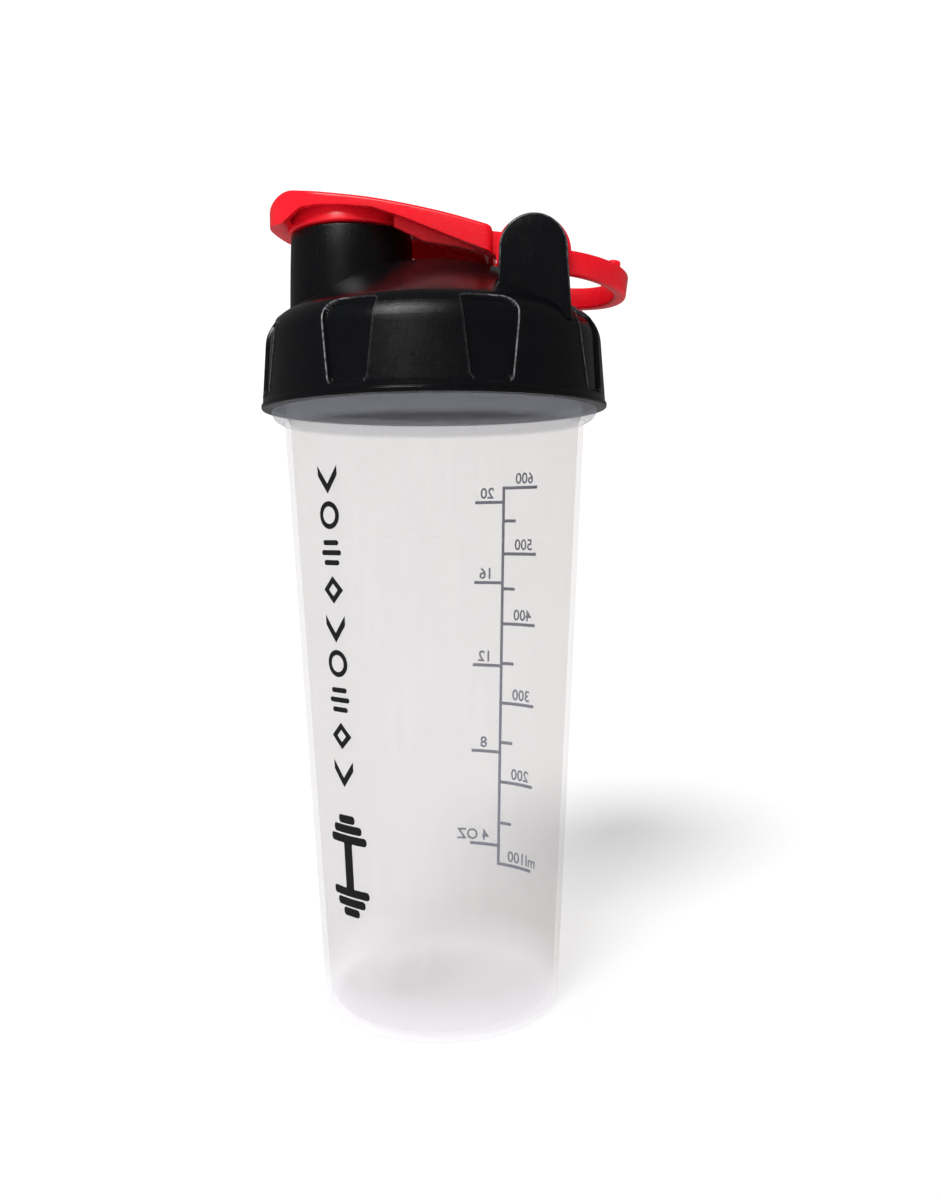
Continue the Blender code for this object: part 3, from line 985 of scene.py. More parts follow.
@dataclass
class FrontPrint:
    """A plain decoration: a column of line-drawn signs over an upright dumbbell."""

    top_z: float = 150.5
    step: float = 9.7
    size: float = 7.2
    stroke: float = 1.35
    signs: tuple[Sign, ...] = (Sign.CHEVRON, Sign.RING, Sign.BARS, Sign.DIAMOND, Sign.CHEVRON,
                               Sign.RING, Sign.BARS, Sign.DIAMOND, Sign.CHEVRON)
    dumbbell_z: float = 47.0
    grip_length: float = 13.0
    grip_width: float = 3.0
    plates: tuple[Point, ...] = ((7.4, 13.4), (10.2, 10.4), (12.9, 6.0))
    plate_height: float = 2.3

    def flat(self) -> bmesh.types.BMesh:
        """Draws the decoration, spread out flat.

        Returns:
            The flat print.
        """
        bm = bmesh.new()
        for i, sign in enumerate(self.signs):
            self.draw(bm, sign, self.top_z - i * self.step)
        add_bar(bm, 0.0, self.dumbbell_z, self.grip_width, self.grip_length)
        for side in (-1, 1):
            for distance, width in self.plates:
                self.pill(bm, 0.0, self.dumbbell_z + side * distance, width, self.plate_height, 0.9)
        return bm

    def draw(self, bm: bmesh.types.BMesh, sign: Sign, z: float) -> None:
        """Adds one line-drawn sign.

        Args:
            bm: The print.
            sign: Which one.
            z: Its middle height.
        """
        half = self.size / 2
        if sign is Sign.BARS:
            for lift in (-1, 0, 1):
                width = self.size * (1.0 - 0.22 * abs(lift))
                self.pill(bm, 0.0, z + lift * half * 0.72, width, self.stroke, self.stroke / 2.1)
        elif sign is Sign.CHEVRON:
            for side in (-1, 1):
                foot, tip = z + half * 0.85, z - half * 0.45
                thick = self.stroke * 1.9
                add_shape(bm, [(0.0, tip), (0.0, tip - thick), (side * half, foot - thick),
                               (side * half, foot)][::side])
        else:
            sides = 40 if sign is Sign.RING else 4
            place = Matrix.Translation((0.0, z, 0.0))
            outer, inner = (bmesh.ops.create_circle(bm, radius=r, segments=sides, matrix=place)["verts"]
                            for r in (half, half - self.stroke * (1.0 if sides > 4 else 1.45)))
            rims = [edge for edge in bm.edges if edge.verts[0] in (*outer, *inner)]
            bmesh.ops.bridge_loops(bm, edges=rims)

    @staticmethod
    def pill(bm: bmesh.types.BMesh, x: float, z: float, width: float, height: float,
             radius: float) -> None:
        """Adds a bar with round corners.

        Args:
            bm: The print.
            x: Its middle along the wall.
            z: Its middle height.
            width: Its size along the wall.
            height: Its upright size.
            radius: The radius of its corners.
        """
        w, h = width / 2, height / 2
        radius = min(radius, w - 0.01, h - 0.01)
        add_shape(bm, rounded([(x - w, z - h, radius), (x + w, z - h, radius), (x + w, z + h, radius),
                               (x - w, z + h, radius)], steps=6))


# --------------------------------------------------------------------------- screw lid


@dataclass
class ScrewLid:
    """The screw lid: skirt with grip panels, roof, spout, ears, and the hollow under them."""

    rim_z: float = 170.2
    lip_r: float = 48.6
    skirt_foot_r: float = 48.3
    skirt_top_r: float = 46.63
    skirt_top_z: float = 193.1
    crown_r: float = 21.5
    crown_z: float = 207.8
    top_z: float = 208.65
    bore_r: float = 45.0
    seat_z: float = 186.6
    ring_inner_r: float = 39.7
    ring_outer_r: float = 41.3
    ring_foot_z: float = 177.5
    roof_wall: float = 2.3
    recess_depth: float = 0.95
    recess_foot_z: float = 173.3
    recess_top_z: float = 194.0
    recess_edge: float = 0.45
    recess_half: Point = (28.3, 32.0)
    pad_half: Point = (15.6, 13.2)
    spout_x: float = -23.0
    spout_rim_z: float = 219.0
    spout_bore_r: float = 14.6
    hinge: tuple[float, float] = (28.1, 208.2)
    ear_r: float = 8.8
    ear_foot_half: float = 9.8
    ear_y: Point = (24.8, 29.0)
    lug_y: Point = (20.5, 24.8)
    pin_hole_r: float = 1.8
    columns: tuple[int, ...] = (14, 4, 30, 4, 4, 6)
    bead_width: float = 0.5
    bead_height: float = 0.10
    # how strong the painted highlight on the ears' rims is
    ear_wear: float = 0.4
    ear_rim: Point = (0.05, 0.45)
    panel_rise: float = 0.0

    def skirt_r(self, z: float) -> float:
        """The skirt's outer radius at a height."""
        share = (z - self.rim_z) / (self.skirt_top_z - self.rim_z)
        return self.skirt_foot_r + (self.skirt_top_r - self.skirt_foot_r) * share

    def outer_outline(self) -> list[Point]:
        """The lid's outer section from its rim to the middle of its top.

        Returns:
            (radius, height) points, close together where the grip panels are.
        """
        rim = self.rim_z
        corners = [(self.bore_r, rim, 0.3), (self.lip_r, rim, 0.45), (self.lip_r, rim + 1.15, 0.3),
                   (self.skirt_r(rim + 1.5) - 0.12, rim + 1.5, 0.12),
                   (self.skirt_r(rim + 1.9), rim + 1.9, 0.15), (self.skirt_top_r, self.skirt_top_z, 9.5),
                   (self.crown_r, self.crown_z, 7.0), (self.crown_r - 8.0, self.top_z, 9.0),
                   (0.0, self.top_z, 0.0)]
        outline = rounded(corners, closed=False, steps=10)
        top = self.recess_top_z + 1.0

        def longest(at: Point) -> float:
            if at[1] > top or at[1] < rim + 2.0:
                return 3.0
            near_edge = at[1] > self.recess_top_z - 6.0 or at[1] < self.recess_foot_z + 1.2
            return 0.3 if near_edge else 0.8

        return split_long(outline, longest)

    def inner_outline(self) -> list[Point]:
        """The hollow's section from the middle of its ceiling down to the rim.

        Returns:
            (radius, height) points.
        """
        wall = self.roof_wall
        corners = [(0.0, self.top_z - wall, 0.0), (self.crown_r, self.crown_z - wall - 0.4, 4.0),
                   (self.ring_inner_r, 194.6, 1.2), (self.ring_inner_r, self.ring_foot_z, 0.5),
                   (self.ring_outer_r, self.ring_foot_z, 0.5), (self.ring_outer_r, self.seat_z, 0.4),
                   (self.bore_r, self.seat_z, 0.4), (self.bore_r, self.rim_z + 0.3, 0.0)]
        return rounded(corners, closed=False, steps=4)

    def half_angles(self, z: float) -> Point:
        """Half the angles of a grip pad and of its recess at a height, in degrees."""
        share = min(1.0, max(0.0, (z - self.recess_foot_z) / (self.skirt_top_z - self.recess_foot_z)))
        pad = self.pad_half[0] + (self.pad_half[1] - self.pad_half[0]) * share
        recess = self.recess_half[0] + (self.recess_half[1] - self.recess_half[0]) * share
        return pad, recess

    def column_angle(self, column: float, z: float) -> float:
        """Where a column of the skirt's mesh stands, so that columns follow the panels' edges.

        Args:
            column: The column's number from the middle of a grip.
            z: The height.

        Returns:
            The angle from the middle of the grip, in degrees.
        """
        pad, recess = self.half_angles(z)
        edge, bead = (degrees(width / self.skirt_r(z)) for width in (self.recess_edge, self.bead_width))
        stops = np.cumsum((0,) + self.columns)
        angles = (0.0, pad, pad + edge, recess - edge, recess, recess + bead, 45.0)
        return float(np.interp(column, stops, angles))

    def panel_distance(self, angle: float, z: float, rise: float) -> float:
        """How far a point of the skirt lies outside the sunk panel beside a grip pad.

        Args:
            angle: The angle from the middle of the grip, in degrees.
            z: The height.
            rise: The length along the section from the panel's foot.

        Returns:
            The distance, which is negative on the panel.
        """
        pad, recess = self.half_angles(z)
        scale = radians(1.0) * 47.0
        middle, half_width = (pad + recess) / 2 * scale, (recess - pad) / 2 * scale
        half_rise = self.panel_rise / 2
        across, up = angle * scale - middle, rise - half_rise
        radius = (4.6 if up > 0 else 1.0) if across > 0 else (1.2 if up > 0 else 1.6)
        qx = abs(across) - half_width + radius
        qy = abs(up) - half_rise + radius
        return hypot(max(qx, 0.0), max(qy, 0.0)) + min(max(qx, qy), 0.0) - radius

    def edge_wear(self, away: float, angle: float, z: float) -> float:
        """How much pale colour the bead round a panel gets, as wear and painted highlight: most on its
        outer side and top.

        Args:
            away: The distance from the panel.
            angle: The angle from the middle of the grip, in degrees.
            z: The height.

        Returns:
            From 0 to 1.
        """
        on_bead = max(0.0, 1 - abs(away / 0.25 - 0.7))
        if z < self.recess_foot_z + 0.8:
            return on_bead * 0.3
        is_outer = angle > sum(self.half_angles(z)) / 2
        return on_bead * (1.0 if is_outer else 0.2)

    def relief(self, away: float) -> float:
        """How deep the skirt is sunk at a distance from a panel, with a fine bead round the panel."""
        share = min(1.0, max(0.0, -away / self.recess_edge))
        bead = self.bead_height * max(0.0, 1 - abs(away / self.bead_width * 2 - 1))
        return self.recess_depth * share * share * (3 - 2 * share) - bead

    def build_shell(self) -> bpy.types.Object:
        """Models the skirt, roof and hollow, with the grip panels pressed in.

        Returns:
            The shell, without spout and ears.
        """
        outer = list(reversed(self.outer_outline()))
        outline = [*outer, *reversed(self.inner_outline())]
        rises = [0.0]
        inward = [Vector((0.0, -1.0))]
        for before, point, after in zip(outer, outer[1:], outer[2:] + [outer[-1]]):
            rises.append(rises[-1] - hypot(point[0] - before[0], point[1] - before[1]))
            along = Vector((after[0] - before[0], after[1] - before[1])).normalized()
            inward.append(Vector((along.y, -along.x)))
        foot, top = (float(np.interp(-z, [-p[1] for p in outer if p[1] > self.rim_z + 1],
                                     [rise for rise, p in zip(rises, outer) if p[1] > self.rim_z + 1]))
                     for z in (self.recess_foot_z, self.recess_top_z))
        self.panel_rise = top - foot
        per_grip = 2 * sum(self.columns)
        steps = 4 * per_grip
        bm = Model.spun(outline, steps)
        rows = bm.verts.layers.int["row"]
        wear_and_highlight = bm.verts.layers.float.new("wear_and_highlight")
        for vert in bm.verts:
            r = hypot(vert.co.x, vert.co.y)
            if r < 1e-3:
                continue
            z = vert.co.z
            column = atan2(vert.co.y, vert.co.x) / (2 * pi) * steps + per_grip / 2
            grip, within = divmod(column, per_grip)
            offset = within - per_grip / 2
            angle = self.column_angle(abs(offset), z) * (1 if offset >= 0 else -1)
            at = Vector((r, z))
            row = vert[rows]
            if row < len(outer) and self.recess_foot_z - 1 < z < self.recess_top_z + 1:
                away = self.panel_distance(abs(angle), z, rises[row] - foot)
                at += inward[row] * self.relief(away)
                # The bead round each panel gets pale colour: part wear, part painted highlight.
                vert[wear_and_highlight] = self.edge_wear(away, abs(angle), z)
            turn = 2 * pi * (grip / 4) + radians(angle)
            vert.co = (at.x * cos(turn), at.x * sin(turn), at.y)
        return Model.solid("lid_shell", bm)

    def spout_outline(self) -> list[Point]:
        """The spout's section from the middle of its foot to the middle of its rim."""
        rim = self.spout_rim_z
        return rounded([(0.0, 194.0, 0.0), (17.75, 194.0, 0.0), (17.5, 204.0, 30.0), (17.3, 210.5, 30.0),
                        (16.95, rim, 0.6), (0.0, rim, 0.0)], closed=False, steps=6)

    def ear_outline(self) -> list[Point]:
        """An ear from the side."""
        x, z = self.hinge
        return [(x - self.ear_foot_half, 190.0), (x + self.ear_foot_half, 190.0)] + arc(
            (x, z), self.ear_r, -4, 184, 40)

    def mark_grain(self, lid: bpy.types.Object) -> None:
        """Marks the moulded grain of the spout and grip pads, and paints a highlight on the rims of the
        ears.

        Args:
            lid: The finished lid.
        """
        values = []
        for vert in lid.data.vertices:
            x, y, z = vert.co / MM
            from_spout = hypot(x - self.spout_x, y)
            on_spout = self.spout_bore_r + 0.3 < from_spout < 17.9 and z > 199.0
            turn = (degrees(atan2(y, x)) + 45.0) % 90.0 - 45.0
            pad = self.half_angles(z)[0]
            on_pad = abs(turn) < pad + 0.05 and 173.0 < z < 192.6 and hypot(x, y) > 45.3
            values.append(1.0 if on_spout or on_pad else 0.0)
        mark = lid.data.attributes.new("grain", "FLOAT", "POINT")
        mark.data.foreach_set("value", values)
        rubbed = lid.data.attributes.get("wear_and_highlight") or lid.data.attributes.new("wear_and_highlight", "FLOAT", "POINT")
        for vert, value in zip(lid.data.vertices, rubbed.data):
            x, y, z = vert.co / MM
            from_hinge = hypot(x - self.hinge[0], z - self.hinge[1])
            inset = self.ear_y[1] - abs(y)
            on_bevel = self.ear_rim[0] < inset < self.ear_rim[1]
            # Painted highlight along the bevelled rims of both ears.
            if on_bevel and abs(from_hinge - self.ear_r) < 0.5 and z > 199.0:
                value.value = self.ear_wear

    def build(self, material: bpy.types.Material) -> bpy.types.Object:
        """Models the whole lid.

        Args:
            material: The black plastic.

        Returns:
            The lid.
        """
        lid = self.build_shell()
        tube = Model.spun(self.spout_outline(), 144)
        bmesh.ops.translate(tube, vec=(self.spout_x, 0, 0), verts=tube.verts)
        Model.combine(lid, Model.solid("spout", tube), Operation.JOIN)
        for low, high in ((-self.ear_y[1], -self.ear_y[0]), self.ear_y):
            ear = Model.prism(self.ear_outline(), low, high, Upright.Y, 0.6, 3)
            Model.combine(lid, Model.solid("ear", ear), Operation.JOIN)
        hollow = [(0.0, 188.0), *((r, z) for r, z in reversed(self.inner_outline()) if z > 193.0)]
        hollow.insert(1, (self.ring_inner_r, 188.0))
        Model.combine(lid, Model.solid("hollow", Model.spun(hollow, 96)), Operation.CUT)
        bore = Model.spun([(0.0, 188.5), (self.spout_bore_r, 188.5),
                           (self.spout_bore_r, self.spout_rim_z - 0.6),
                           (self.spout_bore_r + 0.6, self.spout_rim_z), (self.spout_bore_r + 0.6, 225.0),
                           (0.0, 225.0)], 144)
        bmesh.ops.translate(bore, vec=(self.spout_x, 0, 0), verts=bore.verts)
        Model.combine(lid, Model.solid("bore", bore), Operation.CUT)
        self.add_pockets(lid)
        hole = Model.prism(arc(self.hinge, self.pin_hole_r, 0, 360, 32)[:-1], -27.7, 30.0, Upright.Y)
        Model.combine(lid, Model.solid("pin_hole", hole), Operation.CUT)
        Model.close_seams(lid)
        self.mark_grain(lid)
        Model.dress(lid, material)
        return lid

    def add_pockets(self, lid: bpy.types.Object) -> None:
        """Sinks the pockets that the loop's lugs turn in, with a lining under the roof.

        Args:
            lid: The lid.
        """
        roof = [(r, z - self.roof_wall / 2) for r, z in self.outer_outline() if z > 186.0]
        core = [(0.0, roof[0][1]), *roof]
        for side in (-1, 1):
            low, high = sorted((side * (self.lug_y[0] - 1.6), side * (self.lug_y[1] + 2.0)))
            lining = Model.solid("lining", Model.prism(arc(self.hinge, 12.2, 0, 360, 64)[:-1], low, high,
                                                       Upright.Y))
            Model.combine(lining, Model.solid("core", Model.spun(core, 96)), Operation.COMMON)
            Model.combine(lid, lining, Operation.JOIN)
        for side in (-1, 1):
            low, high = sorted((side * self.lug_y[0], side * self.lug_y[1]))
            pocket = Model.prism(arc(self.hinge, 10.2, 0, 360, 64)[:-1], low, high, Upright.Y)
            Model.combine(lid, Model.solid("pocket", pocket), Operation.CUT)


@dataclass
class LidSeal:
    """The flat ring between the lid and the cup's rim."""

    inner_r: float = 41.7
    outer_r: float = 44.5
    low_z: float = 184.3
    high_z: float = 186.3
    sides: int = 160

    def build(self, material: bpy.types.Material) -> bpy.types.Object:
        """Models the seal.

        Args:
            material: The silicone.

        Returns:
            The seal.
        """
        ring = rounded([(self.inner_r, self.low_z, 0.5), (self.outer_r, self.low_z, 0.5),
                        (self.outer_r, self.high_z, 0.5), (self.inner_r, self.high_z, 0.5)], steps=5)
        seal = Model.solid("lid_seal_ring", Model.spun(ring, self.sides, closed=True))
        Model.dress(seal, material, 60.0)
        return seal


@dataclass
class MixingGrid:
    """The sieve that clips into the lid."""

    inner_r: float = 36.9
    outer_r: float = 39.3
    low_z: float = 176.4
    high_z: float = 183.0
    plate: float = 1.6
    pitch: float = 7.6
    hole: float = 5.8
    sides: int = 128

    def build(self, material: bpy.types.Material) -> bpy.types.Object:
        """Models the sieve.

        Args:
            material: The black plastic.

        Returns:
            The sieve.
        """
        floor = self.low_z + self.plate
        cup = rounded([(0.0, self.low_z, 0.0), (self.outer_r, self.low_z, 0.6),
                       (self.outer_r, self.high_z, 0.6), (self.inner_r, self.high_z, 0.6),
                       (self.inner_r, floor, 0.5), (0.0, floor, 0.0)], closed=False, steps=4)
        sieve = Model.solid("mixing_sieve", Model.spun(cup, self.sides))
        reach = int(self.inner_r / self.pitch)
        half = self.hole / 2
        holes = bmesh.new()
        for i in range(-reach, reach + 1):
            for j in range(-reach, reach + 1):
                x, y = i * self.pitch, j * self.pitch
                if hypot(abs(x) + half, abs(y) + half) > self.inner_r:
                    continue
                square = rounded([(x - half, y - half, 0.8), (x + half, y - half, 0.8),
                                  (x + half, y + half, 0.8), (x - half, y + half, 0.8)], steps=3)
                hole = Model.prism(square, self.low_z - 1, floor + 1)
                scratch = bpy.data.meshes.new("hole")
                hole.to_mesh(scratch)
                hole.free()
                holes.from_mesh(scratch)
                bpy.data.meshes.remove(scratch)
        Model.combine(sieve, Model.solid("holes", holes), Operation.CUT)
        Model.close_seams(sieve)
        Model.dress(sieve, material)
        return sieve


# --------------------------------------------------------------------------- hinged pieces


@dataclass
class FlipCap:
    """The flip cap: a thin curved shell, a nose to lift it by, a plug and two knuckles."""

    top: tuple[Point, ...] = ((-45.8, 224.6), (-44.4, 226.6), (-38.6, 228.2), (-32.0, 227.2),
                              (-14.4, 224.6), (3.2, 220.4), (17.4, 215.9))
    bottom: tuple[Point, ...] = ((-45.8, 221.4), (-43.4, 220.5), (-40.6, 219.9), (-39.0, 220.3),
                                 (-34.0, 223.1), (-28.0, 223.3), (-23.0, 223.05), (-14.4, 222.0),
                                 (-5.5, 218.8), (7.4, 213.1), (17.4, 209.0))
    nose_r: float = 19.0
    nose_x: float = -26.8
    nose_solid_x: float = -38.5
    tail_x: float = 17.4
    tail_half: float = 22.3
    edge_r: float = 1.0
    shell: float = 2.2
    spout_x: float = -23.0
    plug_r: float = 14.1
    plug_foot_z: float = 215.5
    flange_r: float = 17.8
    flange_z: float = 219.3
    hinge: tuple[float, float] = (28.1, 208.2)
    rib: tuple[Point, ...] = ((-9.0, 221.8), (-9.0, 217.6), (-1.0, 213.7), (8.0, 212.1),
                              (16.8, 209.9), (16.8, 214.4), (3.2, 219.1))
    rib_t: float = 1.4
    knuckle_r: float = 5.2
    knuckle_y: Point = (15.0, 20.5)
    pin_hole_r: float = 1.8

    def __post_init__(self) -> None:
        """Works out the smooth top and bottom lines."""
        self.top_line = smooth_through(self.top, 10)
        self.bottom_line = list(self.bottom)

    def top_z(self, x: float) -> float:
        """The height of the cap's top at a place along it."""
        return float(np.interp(x, *zip(*self.top_line)))

    def bottom_z(self, x: float) -> float:
        """The height of the side walls' lower edge at a place along the cap."""
        return float(np.interp(x, *zip(*self.bottom_line)))

    def plan(self, inset: float) -> list[Point]:
        """One side of the cap from above, from the nose's tip to the tail's middle.

        Args:
            inset: How far inside the outer edge.

        Returns:
            (x, y) points with y >= 0, the same number for each inset.
        """
        radius = self.nose_r - inset
        nose = arc((self.nose_x, 0.0), radius, 180, 90, 28)
        corner_r = max(0.4, 1.6 - inset)
        centre = (self.tail_x - inset - corner_r, self.tail_half - inset - corner_r)
        side_end = (centre[0], centre[1] + corner_r)
        count = 44
        side = [(nose[-1][0] + (side_end[0] - nose[-1][0]) * k / count,
                 nose[-1][1] + (side_end[1] - nose[-1][1]) * k / count) for k in range(1, count)]
        corner = arc(centre, corner_r, 90, 0, 6)
        tail = [(self.tail_x - inset, centre[1] * (1 - k / 4)) for k in range(1, 5)]
        return nose + side + corner + tail

    def build_outer(self) -> bpy.types.Object:
        """Models the cap's outer shape, with a round edge between its top and its sides.

        Returns:
            The closed shape, before it is hollowed.
        """
        bm = bmesh.new()
        rounds = [(self.edge_r * (1 - sin(a)), self.edge_r * (1 - cos(a)))
                  for a in (radians(15 * k) for k in range(7))]
        count = len(self.plan(0.0))
        order = [(i, 1) for i in range(count)] + [(i, -1) for i in range(count - 2, 0, -1)]
        rings = []
        for inset, drop in [*rounds, (0.0, None)]:
            outline = self.plan(inset)
            ring = {}
            for i, side in order:
                x, y = outline[i]
                z = self.bottom_z(x) if drop is None else self.top_z(x) - drop
                ring[i, side] = bm.verts.new((x, side * y, z))
            rings.append(ring)
        for upper, lower in zip(rings, rings[1:]):
            for k, key in enumerate(order):
                before = order[k - 1]
                bm.faces.new((upper[before], upper[key], lower[key], lower[before]))
        for ring in (rings[0], rings[-1]):
            bm.faces.new((ring[0, 1], ring[1, 1], ring[1, -1]))
            for i in range(1, count - 2):
                bm.faces.new((ring[i, 1], ring[i + 1, 1], ring[i + 1, -1], ring[i, -1]))
            bm.faces.new((ring[count - 2, 1], ring[count - 1, 1], ring[count - 2, -1]))
        return Model.solid("flip_cap_shell", bm)

    def hollow(self, cap: bpy.types.Object) -> None:
        """Hollows the cap from below, but leaves its nose solid.

        Args:
            cap: The closed outer shape.
        """
        ceiling = [(x, z - self.shell) for x, z in self.top_line if x > self.nose_solid_x]
        end = self.tail_x + 5.0
        side = [*ceiling, (end, ceiling[-1][1] - 2.0), (end, 200.0), (ceiling[0][0], 200.0)]
        core = Model.solid("core", Model.prism(side, -30.0, 30.0, Upright.Y))
        half = self.plan(self.shell)
        plan = half + [(x, -y) for x, y in reversed(half[1:-1])]
        Model.combine(core, Model.solid("core_plan", Model.prism(plan, 190.0, 240.0)), Operation.COMMON)
        Model.combine(cap, core, Operation.CUT)

    def build(self, material: bpy.types.Material) -> bpy.types.Object:
        """Models the whole flip cap.

        Args:
            material: The red plastic.

        Returns:
            The flip cap.
        """
        cap = self.build_outer()
        self.hollow(cap)
        self.add_plug(cap)
        x, z = self.hinge
        tail_z = self.top_z(self.tail_x)
        web = [(self.tail_x - 6.0, z + 3.6), (x, z - self.knuckle_r + 0.4)]
        web += arc((x, z), self.knuckle_r, -75, 75, 24)
        web += [(self.tail_x + 0.4, tail_z - 1.1), (self.tail_x - 6.0, tail_z + 0.7)]
        for side in (-1, 1):
            low, high = sorted((side * self.knuckle_y[0], side * self.knuckle_y[1]))
            arm = Model.prism(web, low, high, Upright.Y, 0.5, 3)
            Model.combine(cap, Model.solid("knuckle", arm), Operation.JOIN)
            rib_y = sorted((side * self.knuckle_y[0], side * (self.knuckle_y[0] + self.rib_t)))
            rib = Model.prism(self.rib, *rib_y, Upright.Y, 0.3, 2)
            Model.combine(cap, Model.solid("rib", rib), Operation.JOIN)
        hole = Model.prism(arc(self.hinge, self.pin_hole_r, 0, 360, 32)[:-1], -40.0, 40.0, Upright.Y)
        Model.combine(cap, Model.solid("hole", hole), Operation.CUT)
        Model.close_seams(cap)
        Model.dress(cap, material)
        return cap

    def add_plug(self, cap: bpy.types.Object) -> None:
        """Adds the plug and the collar round it that covers the spout's rim.

        Args:
            cap: The flip cap.
        """
        above = self.top[2][1] + 3.0
        foot = self.plug_foot_z
        outline = rounded([(0.0, foot + 2.0, 0.0), (self.plug_r - 2.2, foot + 2.0, 0.6),
                           (self.plug_r - 2.2, foot, 0.4), (self.plug_r, foot, 0.9),
                           (self.plug_r, self.flange_z, 0.0), (self.flange_r, self.flange_z, 0.5),
                           (self.flange_r - 0.5, self.flange_z + 2.4, 2.0),
                           (self.flange_r - 1.6, above, 0.0), (0.0, above, 0.0)], closed=False, steps=6)
        bm = Model.spun(outline, 128)
        bmesh.ops.translate(bm, vec=(self.spout_x, 0, 0), verts=bm.verts)
        plug = Model.solid("plug", bm)
        under = [(x, z - self.shell / 2) for x, z in self.top_line]
        under += [(self.tail_x, foot - 5), (self.top[0][0], foot - 5)]
        inside = Model.solid("inside", Model.prism(under, -30.0, 30.0, Upright.Y))
        Model.combine(plug, inside, Operation.COMMON)
        Model.combine(cap, plug, Operation.JOIN)


@dataclass
class CarryLoop:
    """The carry loop: a flat band bent round between two lugs."""

    hinge: tuple[float, float] = (28.1, 208.2)
    lug_r: float = 9.8
    lug_y: Point = (20.9, 24.4)
    tilt: float = 7.7
    band_z: Point = (-4.5, 1.6)
    band_t: float = 3.4
    arm: float = 6.5
    reach: float = 26.6
    nub_r: float = 1.7
    nub_at: Point = (21.6, 13.0)
    pin_hole_r: float = 1.8

    def plan(self, inset: float) -> list[Point]:
        """The band from above, relative to the hinge.

        Args:
            inset: How far inside the outer edge.

        Returns:
            A closed outline that starts behind the hinge.
        """
        half = self.lug_y[1] - inset
        ahead = self.reach - self.arm - inset
        curve = [(self.arm + ahead * x, half * y) for x, y in arc((0, 0), 1.0, -90, 90, 96)]
        return [(0.0, half), (0.0, -half), *curve]

    def build(self, material: bpy.types.Material) -> bpy.types.Object:
        """Models the loop.

        Args:
            material: The red plastic.

        Returns:
            The loop.
        """
        low, high = self.band_z
        ring = self.plan(0.0)[2:] + list(reversed(self.plan(self.band_t)[2:]))
        ring = [(0.0, -self.lug_y[1])] + ring[:97] + [(0.0, self.lug_y[1]),
                (0.0, self.lug_y[1] - self.band_t)] + ring[97:] + [(0.0, -self.lug_y[1] + self.band_t)]
        loop = Model.solid("carry_loop_band", Model.prism(ring, low, high, bevel=0.7, segments=3))
        for side in (-1, 1):
            y = sorted((side * self.lug_y[0], side * self.lug_y[1]))
            disc = Model.prism(arc((0.0, 0.0), self.lug_r, 0, 360, 96)[:-1], *y, Upright.Y, 0.5, 3)
            Model.combine(loop, Model.solid("lug", disc), Operation.JOIN)
            nub = Model.spun(rounded([(0.0, 0.0, 0.0), (self.nub_r, 0.0, 0.0),
                                      (self.nub_r, high + 1.2, 0.7), (0.0, high + 1.2, 0.0)],
                                     closed=False, steps=4), 32)
            bmesh.ops.translate(nub, vec=(self.nub_at[0], side * self.nub_at[1], 0), verts=nub.verts)
            Model.combine(loop, Model.solid("nub", nub), Operation.JOIN)
        hole = Model.prism(arc((0.0, 0.0), self.pin_hole_r, 0, 360, 32)[:-1], -40.0, 40.0, Upright.Y)
        Model.combine(loop, Model.solid("hole", hole), Operation.CUT)
        Model.close_seams(loop)
        lean = Matrix.Rotation(radians(self.tilt), 4, "Y")
        loop.data.transform(Matrix.Translation((self.hinge[0] * MM, 0, self.hinge[1] * MM)) @ lean)
        Model.dress(loop, material)
        return loop


@dataclass
class HingePin:
    """The pin through the ears, lugs and knuckles."""

    hinge: tuple[float, float] = (28.1, 208.2)
    radius: float = 1.5
    span: Point = (-27.4, 28.8)

    def build(self, material: bpy.types.Material) -> bpy.types.Object:
        """Models the pin.

        Args:
            material: The steel.

        Returns:
            The pin.
        """
        circle = arc(self.hinge, self.radius, 0, 360, 48)[:-1]
        pin = Model.solid("hinge_pin_rod", Model.prism(circle, *self.span, Upright.Y, 0.25, 2))
        Model.dress(pin, material)
        return pin


# --------------------------------------------------------------------------- studio


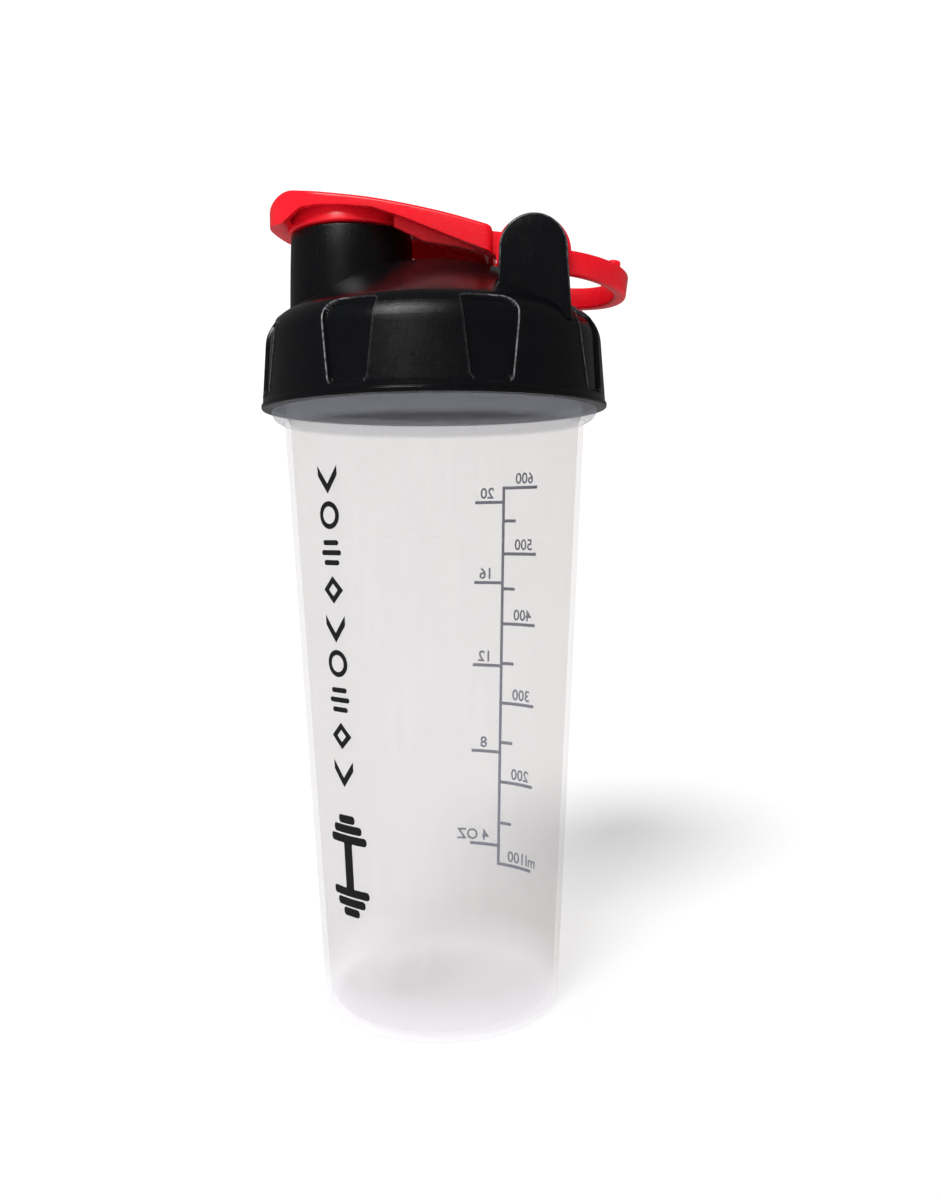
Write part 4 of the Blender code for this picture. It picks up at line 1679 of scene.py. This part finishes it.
@dataclass
class Studio:
    """The pale floor, the soft light and the camera."""

    camera_turn: float = 4.85
    camera_distance: float = 308.1
    camera_height: float = 138.9
    heading: float = -3.07
    pitch: float = 4.224
    roll: float = -0.6
    lens: float = 32.06
    soft_light: Point = (1.02, 0.28)
    room_light: float = 0.12
    floor_shade: float = 0.93
    backdrop: float = 1.08
    key_power: float = 2.3
    key_spread: float = 22.0
    key_from: tuple[float, float, float] = (-0.26, -0.66, 0.70)

    def build(self) -> None:
        """Sets everything up round the bottle."""
        self.floor()
        self.world()
        self.sun()
        self.camera()
        bpy.context.scene.view_settings.view_transform = "Standard"

    def floor(self) -> None:
        """Lays the floor."""
        bm = bmesh.new()
        bmesh.ops.create_grid(bm, x_segments=2, y_segments=2, size=9000.0)
        bmesh.ops.translate(bm, vec=(0, 0, -0.05), verts=bm.verts)
        floor = Model.solid("studio_floor", bm)
        sheet = Sheet("pale floor")
        path = sheet.nodes.new("ShaderNodeLightPath")
        pale = (self.floor_shade,) * 3
        sheet.feed(sheet.blend(path.outputs["Is Glossy Ray"], pale, tuple(c * 0.2 for c in pale)),
                   "Base Color")
        sheet.set(Roughness=0.75, Specular_IOR_Level=0.0)
        Model.dress(floor, sheet.material)

    def world(self) -> None:
        """Lights the scene softly, with a dimmer room for the reflections."""
        world = bpy.data.worlds.new("studio")
        world.use_nodes = True
        nodes, links = world.node_tree.nodes, world.node_tree.links
        nodes.clear()
        path = nodes.new("ShaderNodeLightPath")

        def shade(strength: float) -> bpy.types.NodeSocket:
            light = nodes.new("ShaderNodeBackground")
            light.inputs["Color"].default_value = (1.0, 1.0, 1.0, 1.0)
            light.inputs["Strength"].default_value = strength
            return light.outputs["Background"]

        def pick(ray: str, otherwise: bpy.types.NodeSocket,
                 chosen: bpy.types.NodeSocket) -> bpy.types.NodeSocket:
            switch = nodes.new("ShaderNodeMixShader")
            links.new(path.outputs[ray], switch.inputs["Fac"])
            links.new(otherwise, switch.inputs[1])
            links.new(chosen, switch.inputs[2])
            return switch.outputs["Shader"]

        soft = shade(1.0)
        split = nodes.new("ShaderNodeSeparateXYZ")
        links.new(nodes.new("ShaderNodeTexCoord").outputs["Generated"], split.inputs["Vector"])
        fall = nodes.new("ShaderNodeMapRange")
        low, high = self.soft_light
        for name, value in (("From Min", -1.0), ("To Min", low), ("To Max", high)):
            fall.inputs[name].default_value = value
        links.new(split.outputs["X"], fall.inputs["Value"])
        links.new(fall.outputs["Result"], soft.node.inputs["Strength"])
        room = pick("Is Glossy Ray", soft, shade(self.room_light))
        out = nodes.new("ShaderNodeOutputWorld")
        links.new(pick("Is Camera Ray", room, shade(self.backdrop)), out.inputs["Surface"])
        bpy.context.scene.world = world

    def sun(self) -> None:
        """Hangs a broad far lamp to the left of the camera."""
        light = bpy.data.lights.new("key", "SUN")
        light.angle = radians(self.key_spread)
        light.energy = self.key_power
        lamp = bpy.data.objects.new("key", light)
        aim = Vector(self.key_from)
        lamp.rotation_euler = aim.to_track_quat("Z", "Y").to_euler()
        bpy.context.scene.collection.objects.link(lamp)

    def camera(self) -> None:
        """Stands the camera in front of the bottle."""
        turn, head, dip = radians(self.camera_turn), radians(self.heading), radians(self.pitch)
        forward = Vector((sin(head) * cos(dip), cos(head) * cos(dip), -sin(dip)))
        right = Vector((cos(head), -sin(head), 0.0))
        up = Vector((sin(head) * sin(dip), cos(head) * sin(dip), cos(dip)))
        lean = radians(self.roll)
        side = right * cos(lean) + up * sin(lean)
        top = up * cos(lean) - right * sin(lean)
        data = bpy.data.cameras.new("camera")
        data.lens = self.lens
        data.sensor_width = 36.0
        data.clip_start = 0.01
        camera = bpy.data.objects.new("camera", data)
        place = Vector((sin(turn) * self.camera_distance, -cos(turn) * self.camera_distance,
                        self.camera_height))
        camera.matrix_world = Matrix.Translation(place * MM) @ Matrix(
            (side, top, -forward)).transposed().to_4x4()
        bpy.context.scene.collection.objects.link(camera)
        bpy.context.scene.camera = camera


def main() -> None:
    """Builds every piece on the frame, and the studio round them."""
    logging.basicConfig(level=logging.INFO, format="%(name)s: %(message)s")
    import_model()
    black = BlackPlastic().build()
    red = RedPlastic().build()
    cup = Cup()
    Model.seat(cup.build_body(FrostedPlastic().build()), "cup", "cup", "cup_plastic")
    Model.seat(cup.build_scale(PrintInk("grey ink", (0.19, 0.195, 0.25)).build()), "cup", None,
               "cup_plastic")
    Model.seat(cup.build_front(PrintInk("black ink", (0.008, 0.008, 0.009)).build()), "cup", None,
               "cup_plastic")
    Model.seat(ScrewLid().build(black), "lid", "screw_lid", "lid_plastic")
    Model.seat(LidSeal().build(MilkySilicone().build()), "seal", "lid_seal", "seal_silicone")
    Model.seat(MixingGrid().build(black), "grid", "mixing_grid", "grid_plastic")
    Model.seat(FlipCap().build(red), "cap", "flip_cap", "red_plastic")
    Model.seat(CarryLoop().build(red), "loop", "carry_loop", "red_plastic")
    Model.seat(HingePin().build(BrushedSteel().build()), "lid", "hinge_pin", "pin_steel")
    Studio().build()


if __name__ == "__main__":
    main()
